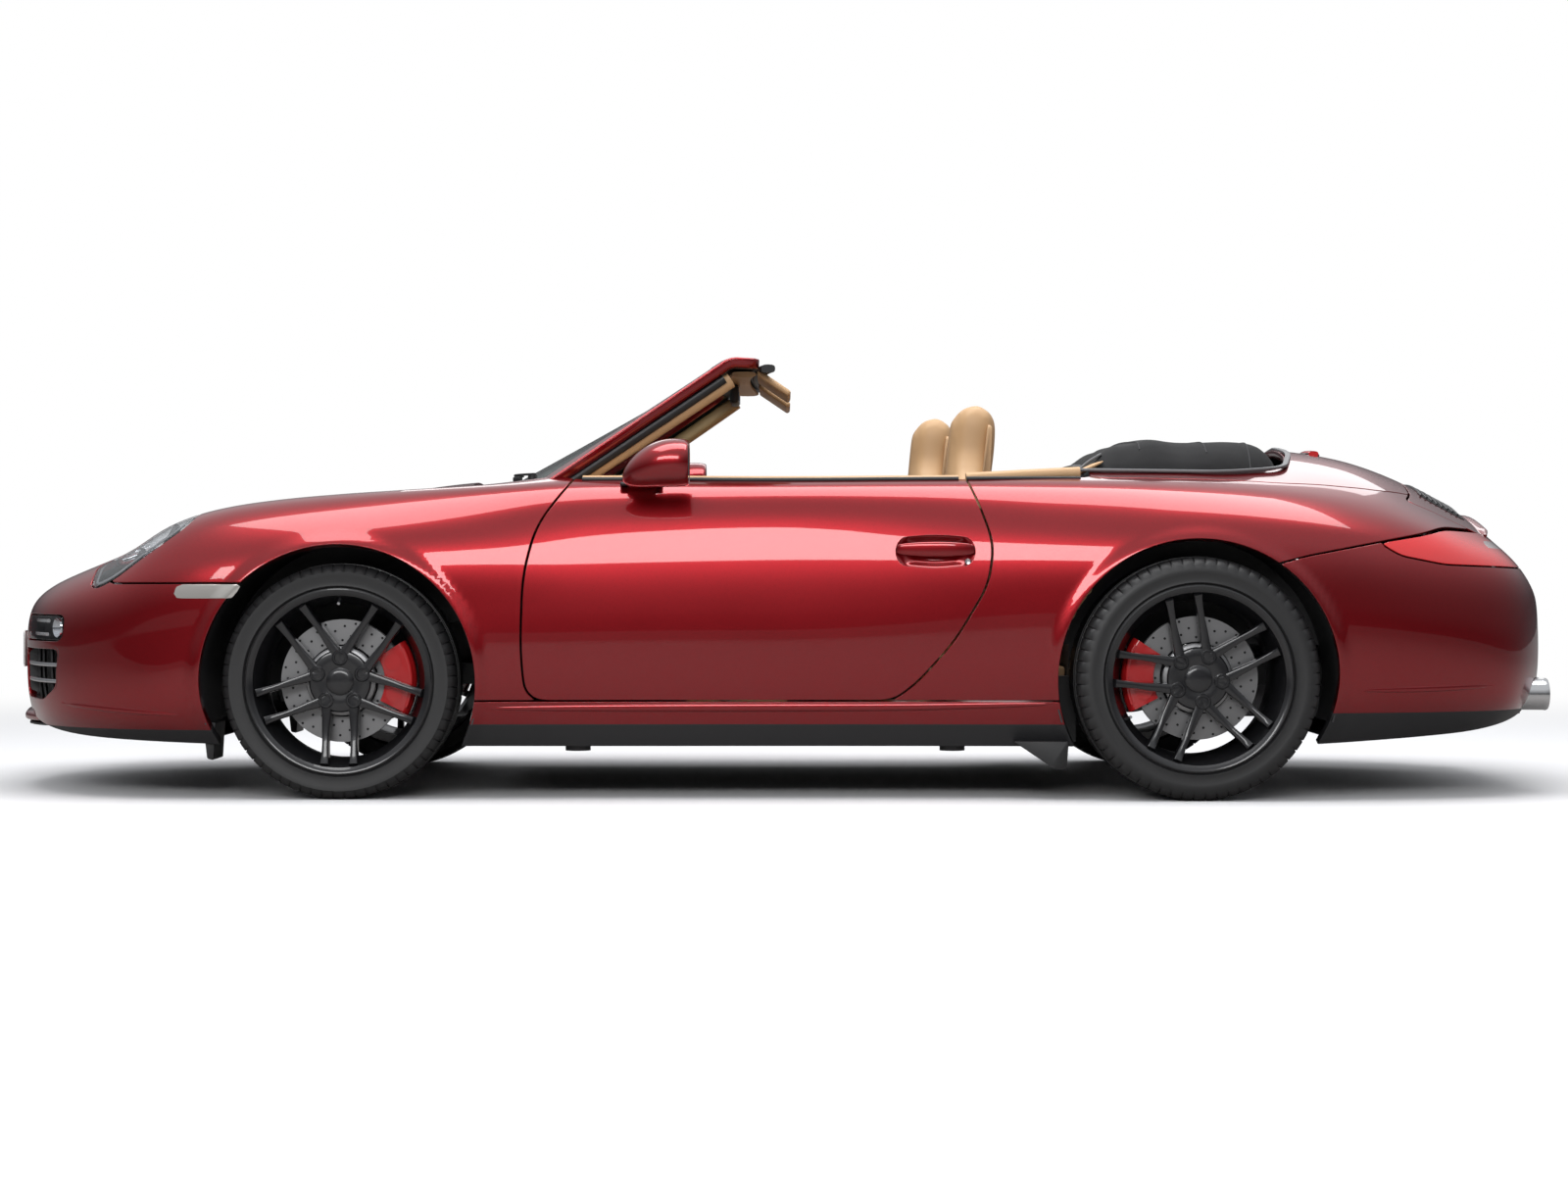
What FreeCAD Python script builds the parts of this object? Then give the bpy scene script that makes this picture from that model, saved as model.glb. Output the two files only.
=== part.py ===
import FreeCAD
import Part
import math
import os
import re

from FreeCAD import Placement, Rotation, Vector

# Open sports convertible with a rear engine, soft top folded behind the cabin.
# The nose points along -X, +Z is up, and the origin is on the ground under the
# middle of the overall length and width. Millimetres.

SIZES = {
    # overall
    "overall_length": 4435, "front_overhang": 1010, "wheelbase": 2350, "rear_overhang": 1075,
    "front_track": 1488, "rear_track": 1548,
    # body shell
    "skin_thick": 22, "door_thick": 66, "lid_thick": 20, "seam_gap": 5,
    "front_arch_radius": 378, "rear_arch_radius": 384,
    "sill_top": 270, "bumper_seam_height": 593,
    "door_front": -708, "door_rear": 586,
    # wheels
    "front_tyre_radius": 323.5, "front_tyre_width": 235,
    "rear_tyre_radius": 333, "rear_tyre_width": 301,
    "bead_radius": 240, "rim_lip_radius": 255, "rim_wall": 12, "lip_thick": 9,
    "front_rim_width": 228, "rear_rim_width": 296,
    "hub_radius": 84, "hub_thick": 18, "spoke_width": 24, "spoke_thick": 30,
    "bolt_circle": 130, "bolt_hole": 22, "shaft_clearance": 0.05,
    "spindle_radius": 24, "disc_radius": 170, "disc_thick": 30, "disc_hat_radius": 95,
    # steering
    "kingpin_offset": 60, "kingpin_radius": 11, "steer_wheel_radius": 185,
    "steer_grip_radius": 15, "column_radius": 22, "column_tilt": 24,
    "steer_x": -235, "steer_y": -375, "steer_z": 770,
    # cabin
    "cabin_half_width": 690, "floor_low": 145, "floor_thick": 22,
    "cabin_front": -690, "cabin_rear": 815, "wall_thick": 20,
    "seat_half_width": 235, "seat_y": 365, "left_seat_shift": 80,
    # windscreen
    "glass_foot_x": -812, "glass_foot_z": 884, "glass_top_x": -190, "glass_top_z": 1222,
    "glass_foot_half": 690, "glass_top_half": 590, "glass_bow_foot": 170, "glass_bow_top": 34,
    "glass_thick": 6, "frame_thick": 34, "pillar_width": 52, "header_depth": 82,
    # rear
    "engine_length": 560, "engine_width": 700, "engine_height": 380,
    "tip_radius": 42, "tip_wall": 4, "tip_spread": 48, "tip_y": 470, "tip_z": 276,
    # plates
    "plate_width": 520, "plate_height": 110, "plate_thick": 4,
    # hinges
    "hinge_pin_radius": 6, "hinge_barrel_radius": 13, "door_hinge_forward": 90,
    "door_hinge_inset": 50, "door_play": 3, "lid_play": 10, "flange_thick": 6, "flange_reach": 45,
}

doc = FreeCAD.newDocument("Convertible")
sheet = doc.addObject("Spreadsheet::Sheet", "Sizes")
for row, (alias, value) in enumerate(SIZES.items(), start=1):
    sheet.set("A%d" % row, alias.replace("_", " "))
    sheet.set("B%d" % row, str(value))
    sheet.setAlias("B%d" % row, alias)
doc.recompute()


def size(name):
    return float(getattr(sheet, name))


# Places along the length are typed for the standard car. The real length is shared among
# the front overhang, the wheelbase and the rear overhang; round each axle nothing stretches.
nose_x, front_axle_x, rear_axle_x, tail_x = -2217.5, -1207.5, 1142.5, 2217.5
AXLE_ZONE = 400
stretch = size("overall_length") / (
    size("front_overhang") + size("wheelbase") + size("rear_overhang"))
real_nose = -size("overall_length") / 2
real_front_axle = real_nose + size("front_overhang") * stretch
real_rear_axle = real_front_axle + size("wheelbase") * stretch
MARKS = [
    (nose_x, real_nose),
    (front_axle_x - AXLE_ZONE, real_front_axle - AXLE_ZONE),
    (front_axle_x + AXLE_ZONE, real_front_axle + AXLE_ZONE),
    (rear_axle_x - AXLE_ZONE, real_rear_axle - AXLE_ZONE),
    (rear_axle_x + AXLE_ZONE, real_rear_axle + AXLE_ZONE),
    (tail_x, -real_nose),
]


def at_x(x):
    """Real place of a typed place along the length."""
    for (low, real_low), (high, real_high) in zip(MARKS[:-1], MARKS[1:]):
        if x <= high or high == tail_x:
            return real_low + (x - low) * (real_high - real_low) / (high - low)


front_axle_z = size("front_tyre_radius")
rear_axle_z = size("rear_tyre_radius")
gap = size("seam_gap")

# Body sections, half width each: station along the length, then height or half width of
# the bottom edge, the lower side, the widest line, the shoulder, the crown, the valley
# beside the lid and the height on the centre line.
# x, bottom z, y, low y, z, wide y, z, shoulder y, z, crown y, z, valley y, z, centre z
SECTIONS = [
    (-2213.5, 330, 150, 168, 350, 178, 395, 168, 440, 140, 462, 90, 468, 470),
    (-2180, 240, 330, 352, 270, 372, 390, 355, 480, 315, 512, 230, 520, 525),
    (-2090, 190, 520, 560, 225, 600, 400, 572, 525, 510, 568, 370, 577, 582),
    (-1960, 168, 650, 705, 215, 745, 410, 715, 555, 630, 616, 440, 628, 640),
    (-1830, 160, 730, 790, 215, 828, 430, 800, 590, 690, 666, 480, 672, 690),
    (-1700, 155, 775, 845, 230, 868, 450, 845, 640, 705, 752, 500, 718, 732),
    (-1550, 150, 795, 868, 250, 890, 480, 868, 670, 705, 803, 520, 766, 778),
    (-1207.5, 145, 800, 880, 280, 905, 520, 875, 715, 720, 840, 560, 824, 850),
    (-880, 145, 800, 868, 280, 888, 540, 862, 725, 748, 853, 640, 864, 896),
    (-560, 145, 800, 850, 280, 866, 545, 842, 730, 775, 858, 710, 885, 905),
    (0, 145, 795, 842, 280, 858, 545, 836, 735, 775, 860, 710, 880, 900),
    (520, 145, 800, 855, 290, 876, 550, 852, 740, 775, 862, 710, 885, 930),
    (850, 145, 820, 885, 300, 908, 560, 880, 745, 785, 862, 700, 888, 975),
    (1142.5, 145, 830, 905, 310, 926, 570, 895, 745, 790, 852, 690, 885, 995),
    (1450, 150, 820, 900, 310, 920, 560, 885, 735, 770, 832, 660, 872, 992),
    (1640, 160, 790, 875, 300, 898, 550, 860, 710, 745, 802, 620, 852, 968),
    (1800, 170, 745, 835, 290, 860, 535, 815, 690, 700, 768, 560, 815, 918),
    (1930, 180, 680, 770, 270, 800, 520, 755, 660, 640, 724, 480, 770, 855),
    (2050, 200, 580, 675, 255, 705, 505, 660, 630, 560, 682, 420, 717, 785),
    (2140, 235, 440, 520, 275, 550, 490, 510, 580, 440, 616, 320, 633, 642),
    (2190, 280, 300, 365, 310, 395, 480, 370, 540, 320, 561, 220, 571, 576),
    (2213.5, 370, 150, 185, 390, 205, 450, 190, 500, 165, 516, 110, 521, 523),
]
TAPER_START = 1750


def half_points(row):
    """Half outline of one section, from the centre of the bottom to the centre of the top."""
    x, bottom_z, bottom_y = row[:3]
    centre_z = row[13]
    pairs = [(row[i], row[i + 1]) for i in range(3, 13, 2)]
    return [(0.0, bottom_z), (bottom_y, bottom_z)] + pairs + [(0.0, centre_z)]


def inset(points, depth):
    """The same outline moved inwards, each corner along the mean of its edges' normals."""
    moved = []
    last = len(points) - 1
    for i, (y, z) in enumerate(points):
        normals = []
        for a, b in ((i - 1, i), (i, i + 1)):
            if a < 0 or b > last:
                continue
            dy, dz = points[b][0] - points[a][0], points[b][1] - points[a][1]
            long = math.hypot(dy, dz)
            normals.append((dz / long, -dy / long))
        ny = sum(n[0] for n in normals) / len(normals)
        nz = sum(n[1] for n in normals) / len(normals)
        scale = depth / max(ny * ny + nz * nz, 0.5)
        moved.append((y - ny * scale if 0 < i < last else 0.0, z - nz * scale))
    return moved


def section_wire(x, points):
    """Closed section: straight floor and top, one arc for the side and one for the crown."""
    right = [Vector(at_x(x), y, z) for y, z in points]
    left = [Vector(at_x(x), -y, z) for y, z in points]
    bottom_r, low_r, wide_r, shoulder_r, crown_r, valley_r, top = right[1:]
    bottom_l, low_l, wide_l, shoulder_l, crown_l, valley_l = left[1:7]
    edges = [
        Part.LineSegment(bottom_l, bottom_r), Part.LineSegment(bottom_r, low_r),
        Part.Arc(low_r, wide_r, shoulder_r), Part.Arc(shoulder_r, crown_r, valley_r),
        Part.LineSegment(valley_r, top), Part.LineSegment(top, valley_l),
        Part.Arc(valley_l, crown_l, shoulder_l), Part.Arc(shoulder_l, wide_l, low_l),
        Part.LineSegment(low_l, bottom_l),
    ]
    return Part.Wire([edge.toShape() for edge in edges])


def body_loft(depth, first=0, last=len(SECTIONS)):
    """The body's outside form, or the same moved inwards by depth."""
    wires = []
    for row in SECTIONS[first:last]:
        x = row[0]
        taper = max(0.0, (abs(x) - TAPER_START) / (tail_x - TAPER_START))
        x -= math.copysign(depth * taper, x)
        wires.append(section_wire(x, inset(half_points(row), depth) if depth else half_points(row)))
    return Part.makeLoft(wires, True, True)


def side_prism(points, low_y=-1100, high_y=1100):
    """Outline in X and Z carried across the width."""
    wire = Part.makePolygon([Vector(at_x(x), low_y, z) for x, z in points + points[:1]])
    return Part.Face(wire).extrude(Vector(0, high_y - low_y, 0))


def plan_prism(points, low_z=-100, high_z=1600):
    """Outline in X and Y carried up the height."""
    wire = Part.makePolygon([Vector(at_x(x), y, low_z) for x, y in points + points[:1]])
    return Part.Face(wire).extrude(Vector(0, 0, high_z - low_z))


def grown(points, margin):
    """Outline in a plane moved outwards by a margin, with sharp corners."""
    wire = Part.makePolygon([Vector(x, y, 0) for x, y in points + points[:1]])
    offset = wire.makeOffset2D(margin, 2)
    return [(v.X, v.Y) for v in offset.OrderedVertexes]


def mirrored(points):
    """Half outline in X and Y closed with its mirror image."""
    return points + [(x, -y) for x, y in reversed(points)]


def box(x0, x1, y0, y1, z0, z1):
    x0, x1 = at_x(x0), at_x(x1)
    return Part.makeBox(x1 - x0, y1 - y0, z1 - z0, Vector(x0, y0, z0))


def point(x, y, z):
    return Vector(at_x(x), y, z)


def rod(start, end, radius):
    start, end = point(*start), point(*end)
    return Part.makeCylinder(radius, (end - start).Length, start, end - start)


def fused(shapes):
    whole = shapes[0].multiFuse(list(shapes[1:])) if len(shapes) > 1 else shapes[0]
    return whole.removeSplitter()


NODES = []


def feature(label, shapes, place=None):
    """A sub-part made of one or more separate solids."""
    solids = [solid for shape in shapes for solid in shape.Solids]
    obj = doc.addObject("Part::Feature", label)
    obj.Label = label
    obj.Shape = solids[0] if len(solids) == 1 else Part.makeCompound(solids)
    obj.Placement = place or Placement()
    NODES.append(obj)
    return obj


def bound(text):
    """Write the sheet's name before each alias of an expression."""
    return re.sub(r"[a-z][a-z_]+", lambda word: "Sizes." + word.group() if word.group() in SIZES
                  else word.group(), text)


def primitive(kind, label, fields, at=(), keep=True):
    """A Part primitive whose sizes and place are bound to the sheet."""
    obj = doc.addObject("Part::" + kind, label)
    obj.Label = label
    for field, text in fields.items():
        obj.setExpression(field, bound(text))
    for axis, text in zip("xyz", at):
        obj.setExpression("Placement.Base." + axis, bound(text))
    if keep:
        NODES.append(obj)
    return obj


# Outlines that part the shell into panels: side views in X and Z, plan views in X and Y
DOOR_FRONT, DOOR_REAR = size("door_front"), size("door_rear")
SILL_TOP = size("sill_top")
SEAM_Z = size("bumper_seam_height")
LID_FRONT, LID_REAR, LID_HALF = -1905, -850, 620
CABIN_FRONT, CABIN_REAR = size("cabin_front"), size("cabin_rear")
door_outline = [
    (DOOR_FRONT + 12, SILL_TOP), (DOOR_FRONT, 420), (DOOR_FRONT + 6, 610), (DOOR_FRONT + 40, 750),
    (DOOR_FRONT + 150, 900), (DOOR_REAR - 75, 900), (DOOR_REAR - 30, 790), (DOOR_REAR, 700),
    (DOOR_REAR - 14, 590), (DOOR_REAR - 110, 430), (DOOR_REAR - 210, 320),
    (DOOR_REAR - 275, SILL_TOP),
]
front_lid_outline = mirrored([
    (LID_FRONT, 380), (-1700, 445), (-1450, 515), (-1150, 590), (-950, LID_HALF),
    (LID_REAR, LID_HALF), (-885, 420), (-900, 200)])
front_bumper_outline = [
    (-2400, -50), (-1380, -50), (-1380, SEAM_Z), (-1850, SEAM_Z), (-1880, SEAM_Z + 60),
    (-1880, 1000), (-2400, 1000)]
sill_outline = [(-1000, -50), (940, -50), (940, SILL_TOP - gap), (-1000, SILL_TOP - gap)]
rear_bumper_outline = [
    (1330, -50), (2400, -50), (2400, 1000), (2040, 1000), (2040, 742), (1850, 748), (1780, 730),
    (1600, 698), (1440, 668), (1330, 640)]
engine_lid_outline = mirrored([(1840, 200), (1815, 420), (1775, 560), (2050, 470)])
deck_outline = mirrored([
    (1850, 200), (1820, 420), (1700, 560), (1600, 615), (1400, 675), (1100, 700), (868, 705)])
top_well = mirrored([(700, 612), (1250, 612), (1430, 520), (1475, 300)])
cabin_outline = mirrored([(-650, 640), (-560, 722), (560, 722), (700, 712), (870, 705)])
cowl_outline = mirrored([(-950, 655), (-560, 655)])
head_lamp_outline = [
    (-1880, 596), (-1850, 660), (-1760, 750), (-1650, 775), (-1608, 745), (-1640, 655),
    (-1720, 600), (-1790, 570), (-1850, 560)]
tail_lamp_outline = [
    (1640, 704), (1700, 668), (1830, 644), (2110, 636), (2090, 690), (2050, 736), (1850, 742),
    (1780, 726)]
front_light_outline = [
    (-2230, 430), (-2230, 505), (-2110, 505), (-2030, 490), (-2030, 430)]


# Body shell and its panels
def arch(x, z, radius):
    return rod((x, -1100, z), (x, 1100, z), radius)


outer = body_loft(0)
shell = outer.cut(body_loft(size("skin_thick")))
arches = [arch(front_axle_x, front_axle_z, size("front_arch_radius")),
          arch(rear_axle_x, rear_axle_z, size("rear_arch_radius"))]
belly = box(-1830, 1640, -760, 760, -50, 200)
for cutter in arches + [belly, plan_prism(cabin_outline, 600)]:
    shell = shell.cut(cutter)

engine_lid_hole = plan_prism(grown(engine_lid_outline, gap), 600)
lamp_solids = {}
for label, outline, depth, inner_y in (("head", head_lamp_outline, 80, 505),
                                       ("tail", tail_lamp_outline, 60, 330),
                                       ("front", front_light_outline, 50, 420)):
    zone = side_prism(outline, inner_y)
    zone = zone.fuse(zone.mirror(Vector(0, 0, 0), Vector(0, 1, 0)))
    lamp_solids[label] = outer.common(zone).cut(body_loft(depth)).cut(engine_lid_hole)
    shell = shell.cut(zone)

front_bumper = shell.common(side_prism(front_bumper_outline))
rest = shell.cut(side_prism(front_bumper_outline))
front_lid_hole = plan_prism(grown(front_lid_outline, gap), 560)
front_bumper = front_bumper.cut(front_lid_hole)
sills = rest.common(side_prism(sill_outline))
rest = rest.cut(side_prism(sill_outline))
rest = rest.cut(side_prism(grown(door_outline, gap))).cut(front_lid_hole)
rear_bumper_zone = side_prism(rear_bumper_outline)
rear_bumper = rest.common(rear_bumper_zone).cut(engine_lid_hole)
tip_r, tip_y, tip_z = size("tip_radius"), size("tip_y"), size("tip_z")
TIP_CLEAR = 6
tip_hole_r = tip_r + TIP_CLEAR
for side in (-1, 1):
    slot = [box(1990, 2300, side * tip_y - size("tip_spread"), side * tip_y + size("tip_spread"),
                tip_z - tip_hole_r, tip_z + tip_hole_r)]
    for shift in (-1, 1):
        y = side * tip_y + shift * size("tip_spread")
        slot.append(rod((1990, y, tip_z), (2300, y, tip_z), tip_hole_r))
    rear_bumper = rear_bumper.cut(fused(slot))
rest = rest.cut(rear_bumper_zone).cut(engine_lid_hole)
deck_zone = plan_prism(deck_outline, 650)
tonneau = rest.common(deck_zone).cut(plan_prism(top_well, 600))
rest = rest.cut(deck_zone)
fenders = rest.common(box(nose_x - 10, 0, -1100, 1100, -50, 1500)).cut(plan_prism(cowl_outline))
quarters = rest.common(box(0, tail_x + 10, -1100, 1100, -50, 1500))

feature("front_bumper", [front_bumper])
feature("rear_bumper", [rear_bumper])
feature("sills", [sills])
feature("fenders", [fenders])
feature("quarters", [quarters])
feature("tonneau_cover", [tonneau])
feature("headlamps", [lamp_solids["head"], lamp_solids["front"]])
feature("tail_lamps", [lamp_solids["tail"]])

# Lids, each with two hinge arms that reach its pins under the neighbouring panel
lid_thick = size("lid_thick")
lid_shell = outer.cut(body_loft(lid_thick))
pin_r, barrel_r = size("hinge_pin_radius"), size("hinge_barrel_radius")
bore_r = pin_r + size("shaft_clearance")
ARM_R = 9
HINGE_Y = 420
BARREL_HALF = 15
front_hinge = (-800, 800)
rear_hinge = (1700, 805)


flange_reach = size("flange_reach")
under_flange = body_loft(size("flange_thick"))


def thinned(panel, zone, thick_zone):
    """A panel left as a thin flange outside its thick zone, so that it swings clear."""
    return panel.cut(under_flange.common(zone).cut(thick_zone))


def shifted(shape, run):
    moved = shape.copy()
    moved.translate(Vector(run, 0, 0))
    return moved


def lid_hinge(hinge_x, hinge_z, elbow, end):
    """Two arms, each a barrel round its pin and a bent bar to the lid."""
    arms = []
    for y in (-HINGE_Y, HINGE_Y):
        barrel = rod((hinge_x, y - BARREL_HALF, hinge_z), (hinge_x, y + BARREL_HALF, hinge_z), barrel_r)
        first = rod((hinge_x, y, hinge_z), (elbow[0], y, elbow[1]), ARM_R)
        joint = Part.makeSphere(ARM_R, point(elbow[0], y, elbow[1]))
        second = rod((elbow[0], y, elbow[1]), (end[0], y, end[1]), ARM_R)
        bore = rod((hinge_x, y - 40, hinge_z), (hinge_x, y + 40, hinge_z), bore_r)
        arms.append(fused([barrel, first, joint, second]).cut(bore))
    return arms


def lid_pins(hinge_x, hinge_z, foot_z):
    """Pins and the brackets that carry them, up from the structure below."""
    parts = []
    for y in (-HINGE_Y, HINGE_Y):
        parts.append(rod((hinge_x, y - 34, hinge_z), (hinge_x, y + 34, hinge_z), pin_r))
        for side in (-1, 1):
            plate_y = y + side * (BARREL_HALF + 9)
            parts.append(box(hinge_x - 14, hinge_x + 14, plate_y - 4, plate_y + 4, foot_z, hinge_z + 14))
    return parts


front_lid = lid_shell.common(plan_prism(front_lid_outline, 560))
front_lid_zone = plan_prism(front_lid_outline, 560)
front_lid = thinned(front_lid, front_lid_zone, shifted(front_lid_zone, -flange_reach))
front_lid = fused([front_lid] + lid_hinge(*front_hinge, (-885, 715), (-960, 868)))
feature("front_lid", [front_lid])

engine_lid_zone = plan_prism(grown(engine_lid_outline, -size("lid_play")), 600)
engine_lid = thinned(lid_shell.common(engine_lid_zone), engine_lid_zone,
                     plan_prism(grown(engine_lid_outline, -flange_reach), 600))
engine_lid = fused([engine_lid] + lid_hinge(*rear_hinge, (1763, 669), (1905, 778)))
feature("engine_lid", [engine_lid])

# Doors, as thick as the real door with its lining
door_thick = size("door_thick")
door_shell = outer.cut(body_loft(door_thick, 8, 14)).cut(plan_prism(cabin_outline, 600))
hinge_x = DOOR_FRONT - size("door_hinge_forward")
DOOR_EDGE_Y = 874
hinge_y = DOOR_EDGE_Y - size("door_hinge_inset")
HINGE_LEVELS = (380, 640)


def door(side):
    """side is -1 on the car's left, at negative Y."""
    low_y, high_y = sorted((side * 400, side * 1100))
    zone = side_prism(grown(door_outline, -size("door_play")), low_y, high_y)
    panel = thinned(door_shell.common(zone), zone, shifted(zone, flange_reach))
    arms = []
    bores = []
    elbow = (hinge_x + 74, hinge_y - 98)
    end = (DOOR_FRONT + 80, hinge_y + 10)
    for z in HINGE_LEVELS:
        at = (hinge_x, side * hinge_y)
        arms.append(rod((*at, z - BARREL_HALF), (*at, z + BARREL_HALF), barrel_r))
        arms.append(rod((*at, z), (elbow[0], side * elbow[1], z), ARM_R))
        arms.append(Part.makeSphere(ARM_R, point(elbow[0], side * elbow[1], z)))
        arms.append(rod((elbow[0], side * elbow[1], z), (end[0], side * end[1], z), ARM_R))
        bores.append(rod((*at, z - 60), (*at, z + 60), bore_r))
    panel = fused([panel] + arms)
    for bore in bores:
        panel = panel.cut(bore)
    return panel


MIRROR_AT, MIRROR_REACH, MIRROR_BACK = (-285, 905, 921), (145, 100, 68), -246
# foot corners: x, y, z at the door, then x, y, z in the head
MIRROR_FOOT = [(-430, 770, 862, -405, 850, 907), (-330, 770, 862, -345, 850, 907),
               (-330, 800, 856, -345, 862, 889), (-430, 800, 856, -405, 862, 889)]


def mirror_shape(side):
    """Mirror head and foot on the door's front upper corner."""
    head = Part.makeSphere(1).transformGeometry(FreeCAD.Matrix(
        MIRROR_REACH[0], 0, 0, at_x(MIRROR_AT[0]), 0, MIRROR_REACH[1], 0, side * MIRROR_AT[1],
        0, 0, MIRROR_REACH[2], MIRROR_AT[2]))
    head = head.common(box(-600, MIRROR_BACK, -1100, 1100, 800, 1100))
    rings = [[point(row[k], side * row[k + 1], row[k + 2]) for row in MIRROR_FOOT + MIRROR_FOOT[:1]]
             for k in (0, 3)]
    foot = Part.makeLoft([Part.makePolygon(ring) for ring in rings], True, True)
    return fused([head, foot])


for side, word in ((-1, "left"), (1, "right")):
    panel = door(side)
    feature("door_" + word, [panel])
    feature("mirror_" + word, [mirror_shape(side).cut(outer)])

# Windscreen: a bowed slab between foot and top, cut into glass and frame
FOOT = (size("glass_foot_x"), size("glass_foot_z"))
TOP = (size("glass_top_x"), size("glass_top_z"))
glass_run = at_x(TOP[0]) - at_x(FOOT[0])
slope = math.atan2(TOP[1] - FOOT[1], glass_run)
rise = math.hypot(glass_run, TOP[1] - FOOT[1])
along = Vector(math.cos(slope), 0, math.sin(slope))
inward = Vector(math.sin(slope), 0, -math.cos(slope))
pillar = size("pillar_width")
header_back = TOP[0] + size("header_depth")


def screen_slice(z, depth, thick):
    """Level cut through the screen: two bowed edges, depth and thickness square to the glass."""
    share = (z - FOOT[1]) / (TOP[1] - FOOT[1])
    front = FOOT[0] + share * (TOP[0] - FOOT[0]) + depth / math.sin(slope)
    back = front + thick / math.sin(slope)
    half = size("glass_foot_half") + share * (size("glass_top_half") - size("glass_foot_half"))
    bow = size("glass_bow_foot") + share * (size("glass_bow_top") - size("glass_bow_foot"))
    arcs = []
    for x in (front, back):
        arcs.append([point(x + bow, -half, z), point(x, 0, z), point(x + bow, half, z)])
    return Part.Wire([
        Part.Arc(*arcs[0]).toShape(), Part.LineSegment(arcs[0][2], arcs[1][2]).toShape(),
        Part.Arc(*reversed(arcs[1])).toShape(), Part.LineSegment(arcs[1][0], arcs[0][0]).toShape()])


def screen_slab(depth, thick, low_z, high_z):
    return Part.makeLoft([screen_slice(low_z, depth, thick), screen_slice(high_z, depth, thick)],
                         True, True)


def on_glass(distance, y):
    return point(FOOT[0], y, FOOT[1]) + along * distance - inward * 300


foot_half = size("glass_foot_half") - pillar
top_half = size("glass_top_half") - pillar
flare = (foot_half - top_half) * 300 / rise
opening = Part.Face(Part.makePolygon([
    on_glass(-300, -foot_half - flare), on_glass(rise - 30, -top_half), on_glass(rise - 30, top_half),
    on_glass(-300, foot_half + flare), on_glass(-300, -foot_half - flare)])).extrude(inward * 600)
FRAME_FOOT_Z = 820
pillars = screen_slab(0, size("frame_thick"), FRAME_FOOT_Z, TOP[1]).cut(opening)
glass = screen_slab(9, size("glass_thick"), FRAME_FOOT_Z + 24, TOP[1]).common(opening)

HEADER_SIDE_Z, HEADER_MID_Z = TOP[1] - 10, TOP[1] + 22
header_half = size("glass_top_half")
header_arcs = [[point(TOP[0] - 60, y, z - drop) for y, z in
                ((-header_half, HEADER_SIDE_Z), (0, HEADER_MID_Z), (header_half, HEADER_SIDE_Z))]
               for drop in (0, size("frame_thick"))]
header_face = Part.Face(Part.Wire([
    Part.Arc(*header_arcs[0]).toShape(),
    Part.LineSegment(header_arcs[0][2], header_arcs[1][2]).toShape(),
    Part.Arc(*reversed(header_arcs[1])).toShape(),
    Part.LineSegment(header_arcs[1][0], header_arcs[0][0]).toShape()]))
header_plan = Part.Face(Part.Wire([
    Part.Arc(point(TOP[0] + size("glass_bow_top"), -header_half, 0), point(TOP[0] - 24, 0, 0),
             point(TOP[0] + size("glass_bow_top"), header_half, 0)).toShape(),
    Part.makePolygon([point(TOP[0] + size("glass_bow_top"), header_half, 0),
                      point(header_back + 20, header_half, 0),
                      point(header_back + 20, -header_half, 0),
                      point(TOP[0] + size("glass_bow_top"), -header_half, 0)])]))
header = header_face.extrude(Vector(300, 0, 0)).common(header_plan.extrude(Vector(0, 0, 1600)))
frame = fused([pillars, header]).cut(outer)
glass = glass.cut(header)

COWL_DROP, COWL_THICK = 30, 16
cowl = body_loft(COWL_DROP, 7, 11).cut(body_loft(COWL_DROP + COWL_THICK, 7, 11))
cowl = cowl.common(plan_prism(cowl_outline, 700)).cut(plan_prism(cabin_outline, 600))
cowl = cowl.cut(front_lid_hole).cut(screen_slab(9, 300, 700, 960)).cut(frame)
feature("windscreen_frame", [frame])
feature("windscreen_glass", [glass])
feature("cowl_panel", [cowl])


# Floor, bulkheads, luggage tub, rails, hinge posts and jack pads
FLOOR_LOW = size("floor_low")
FLOOR_TOP = FLOOR_LOW + size("floor_thick")
WALL = size("wall_thick")
TUB_HALF, RAIL_Y = 385, 400
POST_IN, POST_OUT = 690, 708
cabin_half = size("cabin_half_width")
tub = box(-1780, -960, -TUB_HALF, TUB_HALF, 330, 640)
tub = tub.cut(box(-1780 + WALL, -960 - WALL, -TUB_HALF + WALL, TUB_HALF - WALL, 330 + WALL, 700))
floor_parts = [
    box(CABIN_FRONT - WALL, CABIN_REAR + WALL, -760, 760, FLOOR_LOW, FLOOR_TOP),
    box(CABIN_FRONT - WALL, CABIN_FRONT, -cabin_half, cabin_half, FLOOR_LOW, 800),
    box(CABIN_REAR, CABIN_REAR + WALL, -600, 600, FLOOR_LOW, 860),
    box(640, CABIN_REAR, -cabin_half, cabin_half, FLOOR_LOW, 330),
    tub,
    box(-960 - WALL, CABIN_FRONT, -TUB_HALF, TUB_HALF, 330, 350),
]
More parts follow.
